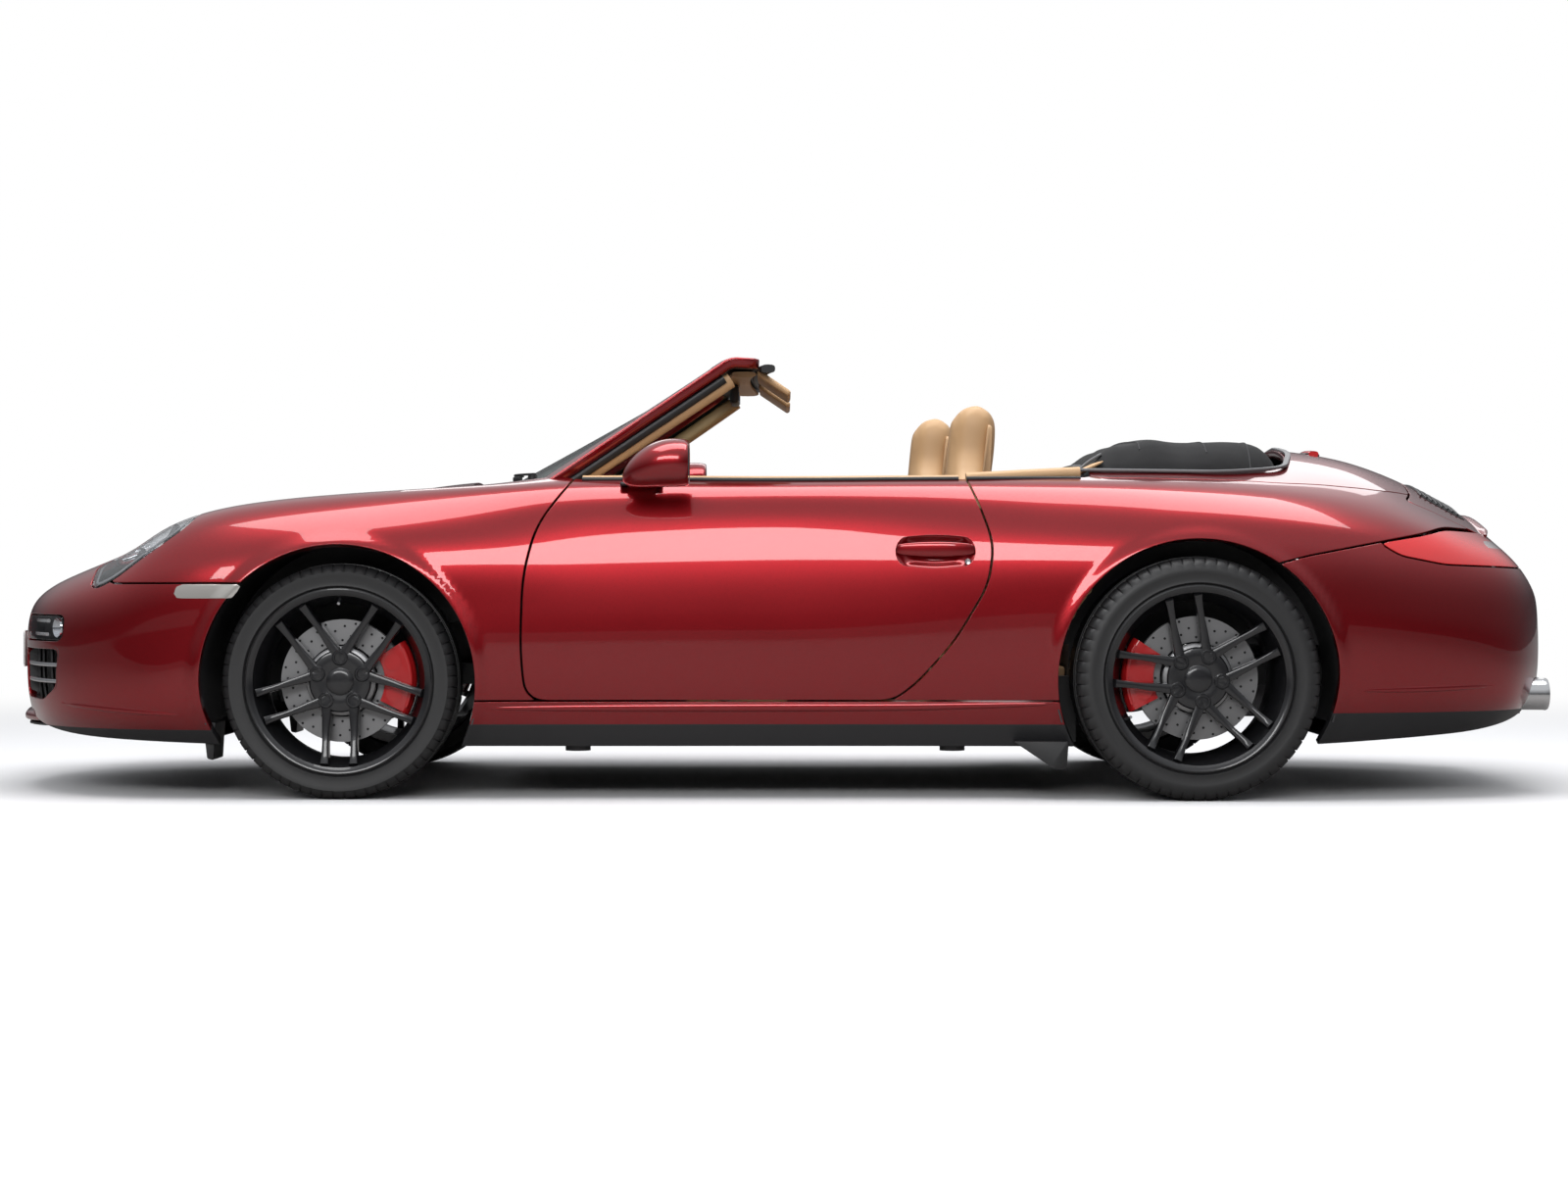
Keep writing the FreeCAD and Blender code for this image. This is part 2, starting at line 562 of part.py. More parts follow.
for side in (-1, 1):
    floor_parts += [
        box(-1990, CABIN_FRONT, *sorted((side * 330, side * 380)), 300, 360),
        box(CABIN_REAR, 1940, *sorted((side * RAIL_Y, side * (RAIL_Y + 50))), 300, 380),
        box(1400, 1500, *sorted((side * size("engine_width") / 2, side * RAIL_Y)), 310, 370),
        box(-640, 560, *sorted((side * 700, side * 760)), FLOOR_TOP - 1, 262),
        box(hinge_x - 24, CABIN_FRONT, *sorted((side * POST_IN, side * POST_OUT)), FLOOR_LOW, 760),
        box(CABIN_FRONT - WALL, CABIN_FRONT, *sorted((side * 600, side * POST_OUT)), FLOOR_LOW, 800),
        box(CABIN_REAR, CABIN_REAR + WALL, *sorted((side * 560, side * cabin_half)), FLOOR_LOW, 780),
    ]
    for z in HINGE_LEVELS:
        for plate_z in (z - BARREL_HALF - 10, z + BARREL_HALF + 2):
            floor_parts.append(box(hinge_x - 20, hinge_x + 12, *sorted((side * POST_IN, side * (hinge_y + 10))),
                                   plate_z, plate_z + 8))
        floor_parts.append(rod((hinge_x, side * hinge_y, z - BARREL_HALF - 10),
                               (hinge_x, side * hinge_y, z + BARREL_HALF + 10), pin_r))
    for x in (-560, 480):
        floor_parts.append(rod((x, side * 720, FLOOR_LOW - 17), (x, side * 720, FLOOR_LOW + 1), 35))
floor_parts += lid_pins(*front_hinge, 700)
floor_parts.append(box(-830, -770, -480, 480, 690, 706))
floor_parts.append(box(-830, CABIN_FRONT, -480, 480, 690, 706))
floor_parts += lid_pins(*rear_hinge, 700)
floor_parts.append(box(1670, 1730, -480, 480, 690, 706))
for side in (-1, 1):
    floor_parts.append(box(1690, 1710, *sorted((side * RAIL_Y, side * (RAIL_Y + 50))), 370, 700))

# Wheelhouse liners: a curved sheet over each wheel and an inner wall above the arms
LINER_GAP, LINER_THICK = 6, 8
floor_body = fused(floor_parts)
floor_parts = []
inside_form = body_loft(size("skin_thick"))
for axle_x, axle_z, arch_r, inner_y, wall_z in (
        (front_axle_x, front_axle_z, size("front_arch_radius"), 425, 480),
        (rear_axle_x, rear_axle_z, size("rear_arch_radius"), 596, 420)):
    for side in (-1, 1):
        low_y, high_y = sorted((side * inner_y, side * 1000))
        floor_body = floor_body.cut(rod((axle_x, side * (inner_y + LINER_THICK), axle_z),
                                        (axle_x, side * 1000, axle_z), arch_r))
        wall_low, wall_high = sorted((side * inner_y, side * (inner_y + LINER_THICK)))
        inner_r = arch_r + LINER_GAP
        liner = rod((axle_x, low_y, axle_z), (axle_x, high_y, axle_z), inner_r + LINER_THICK).cut(
            rod((axle_x, low_y, axle_z), (axle_x, high_y, axle_z), inner_r))
        wall = rod((axle_x, wall_low, axle_z), (axle_x, wall_high, axle_z), inner_r + 1)
        wall = wall.common(box(axle_x - 500, axle_x + 500, wall_low - 1, wall_high + 1, wall_z, 900))
        liner = liner.common(box(axle_x - 500, axle_x + 500, -1000, 1000, 215, 900))
        floor_parts.append(liner.fuse(wall).common(inside_form))
feature("floor_pan", [fused([floor_body] + floor_parts)])

# Soft top folded in its well
soft_profile = [(CABIN_REAR + WALL, 800), (CABIN_REAR + WALL, 905), (900, 955), (950, 998),
                (1180, 1003), (1290, 990), (1480, 990), (1480, 800)]
feature("soft_top", [plan_prism(top_well, 700).common(side_prism(soft_profile))])

# Cabin
dash_half = 722
dash_profile = [(CABIN_FRONT, 420), (CABIN_FRONT, 832), (-600, 862), (-400, 868), (-335, 835), (-330, 700),
                (-420, 560), (-520, 470)]
dash = side_prism(dash_profile, -dash_half, dash_half).common(plan_prism(mirrored([
    (CABIN_FRONT, dash_half - 90), (-650, dash_half - 90), (-565, dash_half - 8), (-300, dash_half - 8)])))
console = side_prism([(CABIN_FRONT, FLOOR_TOP), (CABIN_FRONT, 430), (-460, 530), (-300, 430), (180, 400),
                      (180, FLOOR_TOP)], -95, 95)
wheel_at = point(size("steer_x"), size("steer_y"), size("steer_z"))
tilt = math.radians(size("column_tilt"))
column_dir = Vector(-math.cos(tilt), 0, -math.sin(tilt))
column = Part.makeCylinder(size("column_radius"), 180, wheel_at + column_dir * 30, column_dir)
stub_r = 9
stub = Part.makeCylinder(stub_r, 60, wheel_at - column_dir * 8, column_dir)
feature("dashboard", [fused([dash, console, column, stub])])

grip = Part.makeTorus(size("steer_wheel_radius"), size("steer_grip_radius"), wheel_at, column_dir)
hub = Part.makeCylinder(52, 44, wheel_at - column_dir * 20, column_dir)
spokes = []
side_dir = Vector(0, 1, 0)
up_dir = side_dir.cross(column_dir)
for angle in (0, 180, 270):
    turn = math.radians(angle)
    reach = side_dir * math.cos(turn) + up_dir * math.sin(turn)
    spokes.append(Part.makeCylinder(12, size("steer_wheel_radius") - 2, wheel_at, reach))
bore = Part.makeCylinder(stub_r + size("shaft_clearance"), 80, wheel_at - column_dir * 9, column_dir)
feature("steering_wheel", [fused([grip, hub] + spokes).cut(bore)])

seat_profile = [(-70, 300), (-90, 400), (-40, 440), (310, 400), (395, 700), (440, 900), (450, 1060), (470, 1120),
                (520, 1126), (545, 1095), (540, 940), (520, 800), (420, 330), (400, 300)]
seat_half = size("seat_half_width")
seats = []
for side in (-1, 1):
    shift = size("left_seat_shift") if side < 0 else 0
    middle = side * size("seat_y")
    seat = side_prism([(x + shift, z) for x, z in seat_profile], middle - seat_half, middle + seat_half)
    for edge in (-1, 1):
        seat = seat.cut(box(300, 800, *sorted((middle + edge * 130, middle + edge * 300)), 925, 1200))
    base = box(shift, shift + 340, middle - 180, middle + 180, FLOOR_TOP, 301)
    seats.append(fused([seat, base]))
feature("seats", seats)
rear_seat_profile = [(645, 330), (645, 400), (735, 425), (765, 800), (CABIN_REAR, 800), (CABIN_REAR, 330)]
feature("rear_seats", [side_prism(rear_seat_profile, *sorted((side * 60, side * 560))) for side in (-1, 1)])

# Engine block behind the rear axle, between the rails
ENGINE_AT = ("-overall_length / 2 + (front_overhang + wheelbase) * overall_length"
             " / (front_overhang + wheelbase + rear_overhang) + 147.5")
primitive("Box", "engine", {"Length": "engine_length", "Width": "engine_width", "Height": "engine_height"},
          (ENGINE_AT, "-engine_width / 2", "205"))


# Exhaust: a silencer each side behind the wheels with twin tips
tips = []
for side in (-1, 1):
    silencer = box(1560, 1960, *sorted((side * (RAIL_Y + 50), side * 640)), 240, 380)
    parts = [silencer]
    bores = []
    for shift in (-1, 1):
        y = side * tip_y + shift * size("tip_spread")
        parts.append(rod((1950, y, tip_z), (2172, y, tip_z), tip_r))
        bores.append(rod((2060, y, tip_z), (2300, y, tip_z), tip_r - size("tip_wall")))
    tip = fused(parts)
    for cutter in bores:
        tip = tip.cut(cutter)
    tips.append(tip)
feature("exhaust", tips)


# Number plates, blank
plate_t = size("plate_thick")
plate_half = size("plate_width") / 2
plate_high = size("plate_height")
PLATE_FRONT_Z, PLATE_REAR_Z = 345, 400
feature("number_plates", [
    box(nose_x, nose_x + plate_t, -plate_half, plate_half, PLATE_FRONT_Z, PLATE_FRONT_Z + plate_high),
    box(tail_x - plate_t, tail_x, -plate_half, plate_half, PLATE_REAR_Z, PLATE_REAR_Z + plate_high)])


# Axles
kingpin_y = size("front_track") / 2 - size("kingpin_offset")
kingpin_r = size("kingpin_radius")
beam = [box(front_axle_x - 60, front_axle_x + 60, -450, 450, 190, 300)]
for side in (-1, 1):
    beam += [
        box(front_axle_x - 25, front_axle_x + 25, *sorted((side * 440, side * (kingpin_y + 22))), 190, 212),
        box(front_axle_x - 25, front_axle_x + 25, *sorted((side * 440, side * (kingpin_y + 22))), 440, 458),
        box(front_axle_x - 25, front_axle_x + 25, *sorted((side * 430, side * 462)), 190, 458),
        rod((front_axle_x, side * kingpin_y, 190), (front_axle_x, side * kingpin_y, 458), kingpin_r),
    ]
feature("front_axle", [fused(beam)])

spindle_r = size("spindle_radius")
clear = size("shaft_clearance")


def wheel_numbers(front):
    """Half track, axle height, hub face from the wheel's middle, rim and tyre sizes."""
    which = "front" if front else "rear"
    face = size(which + "_rim_width") / 2 - 52
    return (size(which + "_track") / 2, front_axle_z if front else rear_axle_z, face,
            size(which + "_rim_width"), size(which + "_tyre_radius"), size(which + "_tyre_width"))


def ring(profile, x, side, track_half, z):
    """Profile of (distance outboard from the wheel's middle, radius), turned about the axle."""
    points = [point(x, side * (track_half + out), z + radius) for out, radius in profile]
    face = Part.Face(Part.makePolygon(points + points[:1]))
    return face.revolve(point(x, 0, z), Vector(0, 1, 0), 360)


disc_t, disc_r, hat_r = size("disc_thick"), size("disc_radius"), size("disc_hat_radius")
CALIPER_GAP = 5
caliper_bits = {}
carriers = []
for front, axle_x in ((True, front_axle_x), (False, rear_axle_x)):
    half, z, face, rim_w, tyre_r, tyre_w = wheel_numbers(front)
    phase = 90 if front else 65
    for side, word in ((-1, "left"), (1, "right")):
        name = ("front_" if front else "rear_") + word
        hub_low = face - 31
        disc = ring([(hub_low - disc_t, spindle_r + clear), (hub_low - disc_t, disc_r), (hub_low, disc_r),
                     (hub_low, hat_r), (face, hat_r), (face, spindle_r + clear)], axle_x, side, half, z)
        feature("brake_disc_" + name, [disc])
        lip_r, bead_r, wall = size("rim_lip_radius"), size("bead_radius"), size("rim_wall")
        lip_t = size("lip_thick")
        barrel = ring([(-rim_w / 2, bead_r - wall), (-rim_w / 2, lip_r), (-rim_w / 2 + lip_t, lip_r),
                       (-rim_w / 2 + lip_t, bead_r), (rim_w / 2 - lip_t, bead_r), (rim_w / 2 - lip_t, lip_r),
                       (rim_w / 2, lip_r), (rim_w / 2, bead_r - wall)], axle_x, side, half, z)
        hub_disc = ring([(face, spindle_r + clear), (face, size("hub_radius")),
                         (face + size("hub_thick"), size("hub_radius")),
                         (face + size("hub_thick") + 10, 38), (face + size("hub_thick") + 10, 0),
                         (face + size("hub_thick"), 0), (face + size("hub_thick"), spindle_r + clear)],
                        axle_x, side, half, z)
        arms = []
        for spoke in range(5):
            for lean in (-1, 1):
                angle = math.radians(phase + spoke * 72)
                tip = angle + math.radians(27 * lean)
                start = Vector(52 * math.cos(angle), 0, 52 * math.sin(angle))
                end = Vector((bead_r - wall + 3) * math.cos(tip), 0, (bead_r - wall + 3) * math.sin(tip))
                run = end - start
                arm = Part.makeBox(run.Length, size("spoke_thick"), size("spoke_width"),
                                   Vector(0, -size("spoke_thick") / 2, -size("spoke_width") / 2))
                arm.Placement = Placement(point(axle_x, side * (half + face + size("spoke_thick") / 2 + 2), z)
                                          + start, Rotation(Vector(0, 1, 0), -math.degrees(
                                              math.atan2(run.z, run.x))))
                arms.append(arm)
        rim = fused([barrel, hub_disc] + arms)
        bolt_at, hole_r = size("bolt_circle") / 2, size("bolt_hole") / 2
        holes = []
        for i in range(5):
            angle = math.radians(phase + 72 * i)
            x, level = axle_x + bolt_at * math.cos(angle), z + bolt_at * math.sin(angle)
            holes.append(rod((x, side * (half + face + 12), level), (x, side * (half + face + 60), level),
                             hole_r))
        for hole in holes:
            rim = rim.cut(hole)
        feature("rim_" + name, [rim])
        bead = rim_w / 2 - lip_t
        wide = tyre_w / 2
        tyre = ring([(-bead, bead_r), (-bead, lip_r + 3), (-wide, lip_r + 28), (-wide, tyre_r - 38),
                     (-wide + 12, tyre_r - 14), (-wide + 34, tyre_r), (wide - 34, tyre_r),
                     (wide - 12, tyre_r - 14), (wide, tyre_r - 38), (wide, lip_r + 28), (bead, lip_r + 3),
                     (bead, bead_r)], axle_x, side, half, z)
        feature("tyre_" + name, [tyre])

        # caliper astride the disc: towards the rear on a front wheel, forward on a rear wheel
        pad = 13
        low, high = hub_low - disc_t - CALIPER_GAP - pad, hub_low + CALIPER_GAP + pad
        block = ring([(low, 112), (low, 206), (high, 206), (high, 112)], axle_x, side, half, z)
        slot = ring([(low + pad, 90), (low + pad, disc_r + CALIPER_GAP), (high - pad, disc_r + CALIPER_GAP),
                     (high - pad, 90)], axle_x, side, half, z)
        toward = 1 if front else -1
        wedge = Part.Face(Part.makePolygon([
            point(axle_x, -1100, z), point(axle_x + toward * 260, -1100, z - 150),
            point(axle_x + toward * 260, -1100, z + 190), point(axle_x, -1100, z)]))
        caliper = block.cut(slot).common(wedge.extrude(Vector(0, 2200, 0)))
        caliper_bits[name] = caliper
        inner_y = half + low
        if front:
            king = side * kingpin_y
            knuckle = fused([
                box(axle_x - 24, axle_x + 24, *sorted((side * (kingpin_y - 20), side * (kingpin_y + 20))), 217, 435),
                rod((axle_x, king, z), (axle_x, side * (half + face + size("hub_thick") - 4), z), spindle_r),
                box(axle_x, axle_x + 170, *sorted((side * (kingpin_y - 8), side * inner_y)), z - 20, z + 30),
            ]).cut(rod((axle_x, king, 180), (axle_x, king, 480), kingpin_r + clear))
            feature("knuckle_" + word, [knuckle])
            feature("caliper_" + word, [caliper])
        else:
            carriers += [
                rod((axle_x, side * 540, z), (axle_x, side * (half + face + size("hub_thick") - 4), z), spindle_r),
                box(axle_x - 170, axle_x + 40, *sorted((side * (inner_y - 14), side * inner_y)), z - 40, z + 50),
                box(axle_x - 40, axle_x + 40, *sorted((side * 500, side * inner_y)), z - 50, z + 50)]
feature("rear_calipers", [caliper_bits["rear_left"], caliper_bits["rear_right"]])
rear_beam = [box(rear_axle_x - 60, rear_axle_x + 60, -540, 540, 240, 300)] + carriers
feature("rear_axle", [fused(rear_beam)])


doc.recompute()
for obj in doc.Objects:
    if "Invalid" in obj.State or "Error" in obj.State:
        raise RuntimeError("%s failed: %s" % (obj.Label, obj.State))
for obj in NODES:
    if obj.Shape.isNull() or not obj.Shape.isValid() or not obj.Shape.Solids:
        raise RuntimeError("%s has no valid solid" % obj.Label)
os.makedirs("parts", exist_ok=True)
for obj in NODES:
    obj.Shape.exportStep("parts/%s.step" % obj.Label)
    print(obj.Label, len(obj.Shape.Solids), round(obj.Shape.Volume / 1e6, 3))
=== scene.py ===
import math
from collections import namedtuple

import bmesh
import bpy
import numpy as np
from mathutils import Matrix, Vector
from mathutils.bvhtree import BVHTree


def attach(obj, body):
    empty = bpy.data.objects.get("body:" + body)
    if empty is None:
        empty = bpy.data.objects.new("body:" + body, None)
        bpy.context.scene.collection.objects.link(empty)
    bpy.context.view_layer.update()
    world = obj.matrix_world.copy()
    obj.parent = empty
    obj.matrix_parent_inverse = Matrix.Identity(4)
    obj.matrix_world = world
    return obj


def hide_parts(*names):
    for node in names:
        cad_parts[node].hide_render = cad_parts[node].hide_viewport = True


# Looks of the open sports convertible. Tables are in millimetres, objects in metres.
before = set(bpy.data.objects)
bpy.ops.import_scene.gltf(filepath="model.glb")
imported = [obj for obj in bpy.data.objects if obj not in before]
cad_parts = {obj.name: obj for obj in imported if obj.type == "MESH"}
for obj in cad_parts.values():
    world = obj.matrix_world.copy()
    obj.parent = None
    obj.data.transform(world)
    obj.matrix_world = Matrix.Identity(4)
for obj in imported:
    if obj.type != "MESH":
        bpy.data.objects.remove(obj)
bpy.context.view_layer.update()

MM = 0.001
FRONT_AXLE = (-1207.5, 323.5)
REAR_AXLE = (1142.5, 333.0)
FRONT_ARCH, REAR_ARCH = 378, 384
# Half the gap between panels, their thickness, and the height below which the body is black
HALF_GAP = 2.4
SKIN = 22
BLACK_LINE_Z = 206
# Nose and tail lie further out than this; the lids lie above these heights
END_X = 1700
FRONT_LID_Z, ENGINE_LID_Z = 560, 600
FAR = 1e9
SIDES = ((-1, "left"), (1, "right"))
GLASS_INDEX = 1.45


# Materials
def connect(tree, target, inputs):
    """Set a node's inputs: values, or outputs of other nodes to link."""
    for key, value in inputs.items():
        if isinstance(value, bpy.types.NodeSocket):
            tree.links.new(value, target.inputs[key])
        else:
            target.inputs[key].default_value = value


def node(tree, kind, inputs=None, **settings):
    new = tree.nodes.new(kind)
    for key, value in settings.items():
        setattr(new, key, value)
    connect(tree, new, inputs or {})
    return new


def shader_group(name, inputs, outputs, build):
    """Shared effect: inputs are (name, kind, default), outputs (name, kind); build gives the outputs."""
    group = bpy.data.node_groups.new(name, "ShaderNodeTree")
    for label, kind, value in inputs:
        socket = group.interface.new_socket(label, in_out="INPUT", socket_type="NodeSocket" + kind)
        socket.default_value = value
    for label, kind in outputs:
        group.interface.new_socket(label, in_out="OUTPUT", socket_type="NodeSocket" + kind)
    place = node(group, "ShaderNodeTexCoord").outputs["Object"]
    node(group, "NodeGroupOutput", build(group, place, node(group, "NodeGroupInput").outputs))
    return group


def noise(tree, place, scale):
    inputs = {"Vector": place, "Scale": scale, "Detail": 3.0, "Roughness": 0.5}
    return node(tree, "ShaderNodeTexNoise", inputs).outputs["Fac"]


def spread(tree, value, low, high):
    return node(tree, "ShaderNodeMapRange", {"Value": value, "To Min": low, "To Max": high}).outputs["Result"]


def flake(group, place, inside):
    cells = node(group, "ShaderNodeTexVoronoi", {"Vector": place, "Scale": 900})
    tone = node(group, "ShaderNodeMix", {"Factor": spread(group, cells.outputs["Distance"], 0.0, 0.8),
                                         "A": inside["Light"], "B": inside["Dark"]}, data_type="RGBA")
    return {"Colour": tone.outputs["Result"],
            "Roughness": spread(group, noise(group, place, 3.0), 0.26, 0.33)}


def grain(group, place, inside):
    cells = node(group, "ShaderNodeTexVoronoi", {"Vector": place, "Scale": inside["Scale"]},
                 feature="DISTANCE_TO_EDGE")
    return {"Height": cells.outputs["Distance"],
            "Roughness": spread(group, noise(group, place, 7.0), 0.42, 0.58)}


def weave(group, place, inside):
    waves = [node(group, "ShaderNodeTexWave", {"Vector": place, "Scale": inside["Scale"]},
                  bands_direction=axis).outputs["Fac"] for axis in ("X", "Y")]
    crossed = node(group, "ShaderNodeMath", dict(enumerate(waves)), operation="MULTIPLY")
    return {"Height": crossed.outputs[0],
            "Roughness": spread(group, noise(group, place, 11.0), 0.8, 0.95)}


RISE = [("Height", "Float"), ("Roughness", "Float")]
GROUPS = {
    "flake": shader_group("paint_flake", [("Light", "Color", (1, 1, 1, 1)), ("Dark", "Color", (0, 0, 0, 1))],
                          [("Colour", "Color"), ("Roughness", "Float")], flake),
    "grain": shader_group("fine_grain", [("Scale", "Float", 300.0)], RISE, grain),
    "weave": shader_group("cloth_weave", [("Scale", "Float", 320.0)], RISE, weave),
}


def material(name, colour, roughness=0.5, metallic=0.0, coat=0.0, effect=None, scale=None,
             bump=0.0, dark=None):
    """Principled material; the flake effect mixes the colour with a dark one, the others rise."""
    new = bpy.data.materials.new(name)
    new.use_nodes = True
    tree = new.node_tree
    shader = tree.nodes["Principled BSDF"]
    connect(tree, shader, {"Base Color": (*colour, 1), "Roughness": roughness, "Metallic": metallic,
                           "Coat Weight": coat, "Coat Roughness": 0.03})
    if effect == "flake":
        group = node(tree, "ShaderNodeGroup", {"Light": (*colour, 1), "Dark": (*dark, 1)},
                     node_tree=GROUPS[effect])
        connect(tree, shader, {"Base Color": group.outputs["Colour"]})
    elif effect:
        group = node(tree, "ShaderNodeGroup", {"Scale": scale} if scale else {}, node_tree=GROUPS[effect])
        rise = node(tree, "ShaderNodeBump", {"Strength": bump, "Distance": 0.0006,
                                             "Height": group.outputs["Height"]})
        connect(tree, shader, {"Normal": rise.outputs["Normal"]})
    if effect:
        connect(tree, shader, {"Roughness": group.outputs["Roughness"]})
    return new


def clear_material(name, tint, haze):
    """Thin clear sheet: see-through with the reflections of glass."""
    new = bpy.data.materials.new(name)
    new.use_nodes = True
    tree = new.node_tree
    tree.nodes.remove(tree.nodes["Principled BSDF"])
    clear = node(tree, "ShaderNodeBsdfTransparent", {"Color": (*tint, 1)})
    shine = node(tree, "ShaderNodeBsdfGlossy", {"Roughness": 0.02})
    index = spread(tree, node(tree, "ShaderNodeNewGeometry").outputs["Backfacing"],
                   GLASS_INDEX, 1 / GLASS_INDEX)
    edge = node(tree, "ShaderNodeFresnel", {"IOR": index})
    more = node(tree, "ShaderNodeMath", {0: edge.outputs["Fac"], 1: haze}, operation="ADD")
    mix = node(tree, "ShaderNodeMixShader", {"Fac": more.outputs[0], 1: clear.outputs[0],
                                             2: shine.outputs[0]})
    connect(tree, tree.nodes["Material Output"], {"Surface": mix.outputs[0]})
    return new


PAINT = material("paint", (0.34, 0.003, 0.009), 0.32, 0.8, 1.0, "flake", dark=(0.14, 0.001, 0.003))
TRIM = material("black_trim", (0.018, 0.018, 0.02), 0.45, effect="grain", scale=900, bump=0.15)
DARK = material("dark_inside", (0.008, 0.008, 0.009), 0.8)
UNDER = material("underbody", (0.03, 0.03, 0.032), 0.7, effect="grain", scale=120, bump=0.2)
RUBBER = material("seal_rubber", (0.012, 0.012, 0.013), 0.6, effect="grain", scale=700, bump=0.1)
LENS = clear_material("clear_lens", (0.96, 0.97, 0.98), 0.03)
RED_LENS = material("red_lens", (0.62, 0.008, 0.01), 0.08, 0.0, 1.0)
CHROME = material("lamp_chrome", (0.8, 0.81, 0.83), 0.08, 1.0)
SILVER = material("silver_trim", (0.55, 0.56, 0.58), 0.3, 1.0)
GLASS = clear_material("screen_glass", (0.86, 0.92, 0.89), 0.02)
CLOTH = material("top_cloth", (0.012, 0.012, 0.013), 0.9, effect="weave", bump=0.5)
LEATHER = material("cabin_leather", (0.53, 0.33, 0.17), 0.5, effect="grain", scale=260, bump=0.35)
DASH = material("dash_leather", (0.48, 0.3, 0.155), 0.5, effect="grain", scale=240, bump=0.3)
METAL = material("engine_metal", (0.2, 0.2, 0.21), 0.5, 0.9, effect="grain", scale=60, bump=0.2)
STEEL = material("exhaust_steel", (0.62, 0.62, 0.63), 0.18, 1.0)
WHITE = material("plate_white", (0.8, 0.8, 0.79), 0.3, 0.0, 0.5)
AXLE = material("axle_steel", (0.1, 0.1, 0.11), 0.55, 0.8)
IRON = material("disc_iron", (0.24, 0.24, 0.245), 0.38, 1.0)
BOWL = material("lamp_bowl", (0.42, 0.43, 0.45), 0.3, 0.5)
CALIPER = material("caliper_red", (0.52, 0.012, 0.014), 0.25, 0.0, 0.8)
RIM = material("rim_black", (0.014, 0.014, 0.016), 0.3, 0.3, 0.6)
TYRE = material("tyre_rubber", (0.016, 0.016, 0.017), 0.75, effect="grain", scale=500, bump=0.15)
GRIP = material("wheel_leather", (0.085, 0.01, 0.014), 0.45, effect="grain", scale=500, bump=0.2)
MIRROR = material("mirror_glass", (0.75, 0.78, 0.8), 0.02, 1.0)
SIDE_LENS = material("side_lens", (0.55, 0.53, 0.5), 0.14, 0.5, 1.0)
GREY = material("grey_trim", (0.16, 0.16, 0.165), 0.4, 0.3)
DIAL = material("dial_face", (0.02, 0.02, 0.022), 0.4)
# Pale band on the tail lamps: a painted reflection on the red lens
LAMP_REFLECTION = material("tail_painted_reflection", (0.6, 0.5, 0.5), 0.12, 0.2, 1.0)
CARPET = material("carpet", (0.02, 0.02, 0.021), 0.9, effect="weave", bump=0.6)
SCREEN = material("stack_glass", (0.012, 0.014, 0.018), 0.05, 0.0, 1.0)
SEAM = material("sewn_seam", (0.42, 0.3, 0.18), 0.6)
CLOTH_SEAM = material("top_seam", (0.03, 0.03, 0.033), 0.8)


# Meshes
def linked(name, data):
    obj = bpy.data.objects.new(name, data)
    bpy.context.scene.collection.objects.link(obj)
    return obj


def made(name, points, faces, materials, body="body", nodes=(), normals=None,
         face_material=None):
    """An object from points in millimetres."""
    mesh = bpy.data.meshes.new(name)
    mesh.from_pydata((np.asarray(points, float) * MM).tolist(), [], [list(map(int, f)) for f in faces])
    mesh.polygons.foreach_set("use_smooth", [True] * len(mesh.polygons))
    for each in materials if isinstance(materials, (list, tuple)) else [materials]:
        mesh.materials.append(each)
    if face_material is not None:
        mesh.polygons.foreach_set("material_index", list(map(int, face_material)))
    if normals is not None:
        mesh.normals_split_custom_set_from_vertices(np.asarray(normals, float).tolist())
    mesh.update()
    obj = linked(name, mesh)
    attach(obj, body)
    if nodes:
        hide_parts(*([nodes] if isinstance(nodes, str) else nodes))
    return obj


class Sheet:
    """Points, outward normals, tags, and faces of four corners (-1 for none on a triangle)."""

    def __init__(self, points, normals, tags, faces):
        self.points, self.normals, self.tags, self.faces = points, normals, tags, faces


def unit(vectors):
    return vectors / np.maximum(np.linalg.norm(vectors, axis=-1, keepdims=True), 1e-12)


def grid_sheet(points, tags=None):
    """A sheet from a grid of points: rows, columns, 3."""
    rows, columns = points.shape[:2]
    along, across = np.gradient(points, axis=0), np.gradient(points, axis=1)
    normals = unit(np.cross(along, across))
    at = np.arange(rows * columns).reshape(rows, columns)
    faces = np.stack([at[:-1, :-1], at[1:, :-1], at[1:, 1:], at[:-1, 1:]], axis=-1).reshape(-1, 4)
    if tags is None:
        tags = np.zeros((rows, columns, 2))
    return Sheet(points.reshape(-1, 3), normals.reshape(-1, 3), tags.reshape(-1, 2), faces)


def facing(points, axis):
    """The sheet of a grid of points, turned so that it faces along an axis."""
    sheet = grid_sheet(points)
    return sheet if sheet.normals[:, axis].mean() > 0 else grid_sheet(points[:, ::-1])


def tidied(points, normals, tags, faces):
    used = np.unique(faces[faces >= 0])
    place = np.full(len(points) + 1, -1)
    place[used] = np.arange(len(used))
    return Sheet(points[used], normals[used], tags[used], np.where(faces >= 0, place[faces], -1))


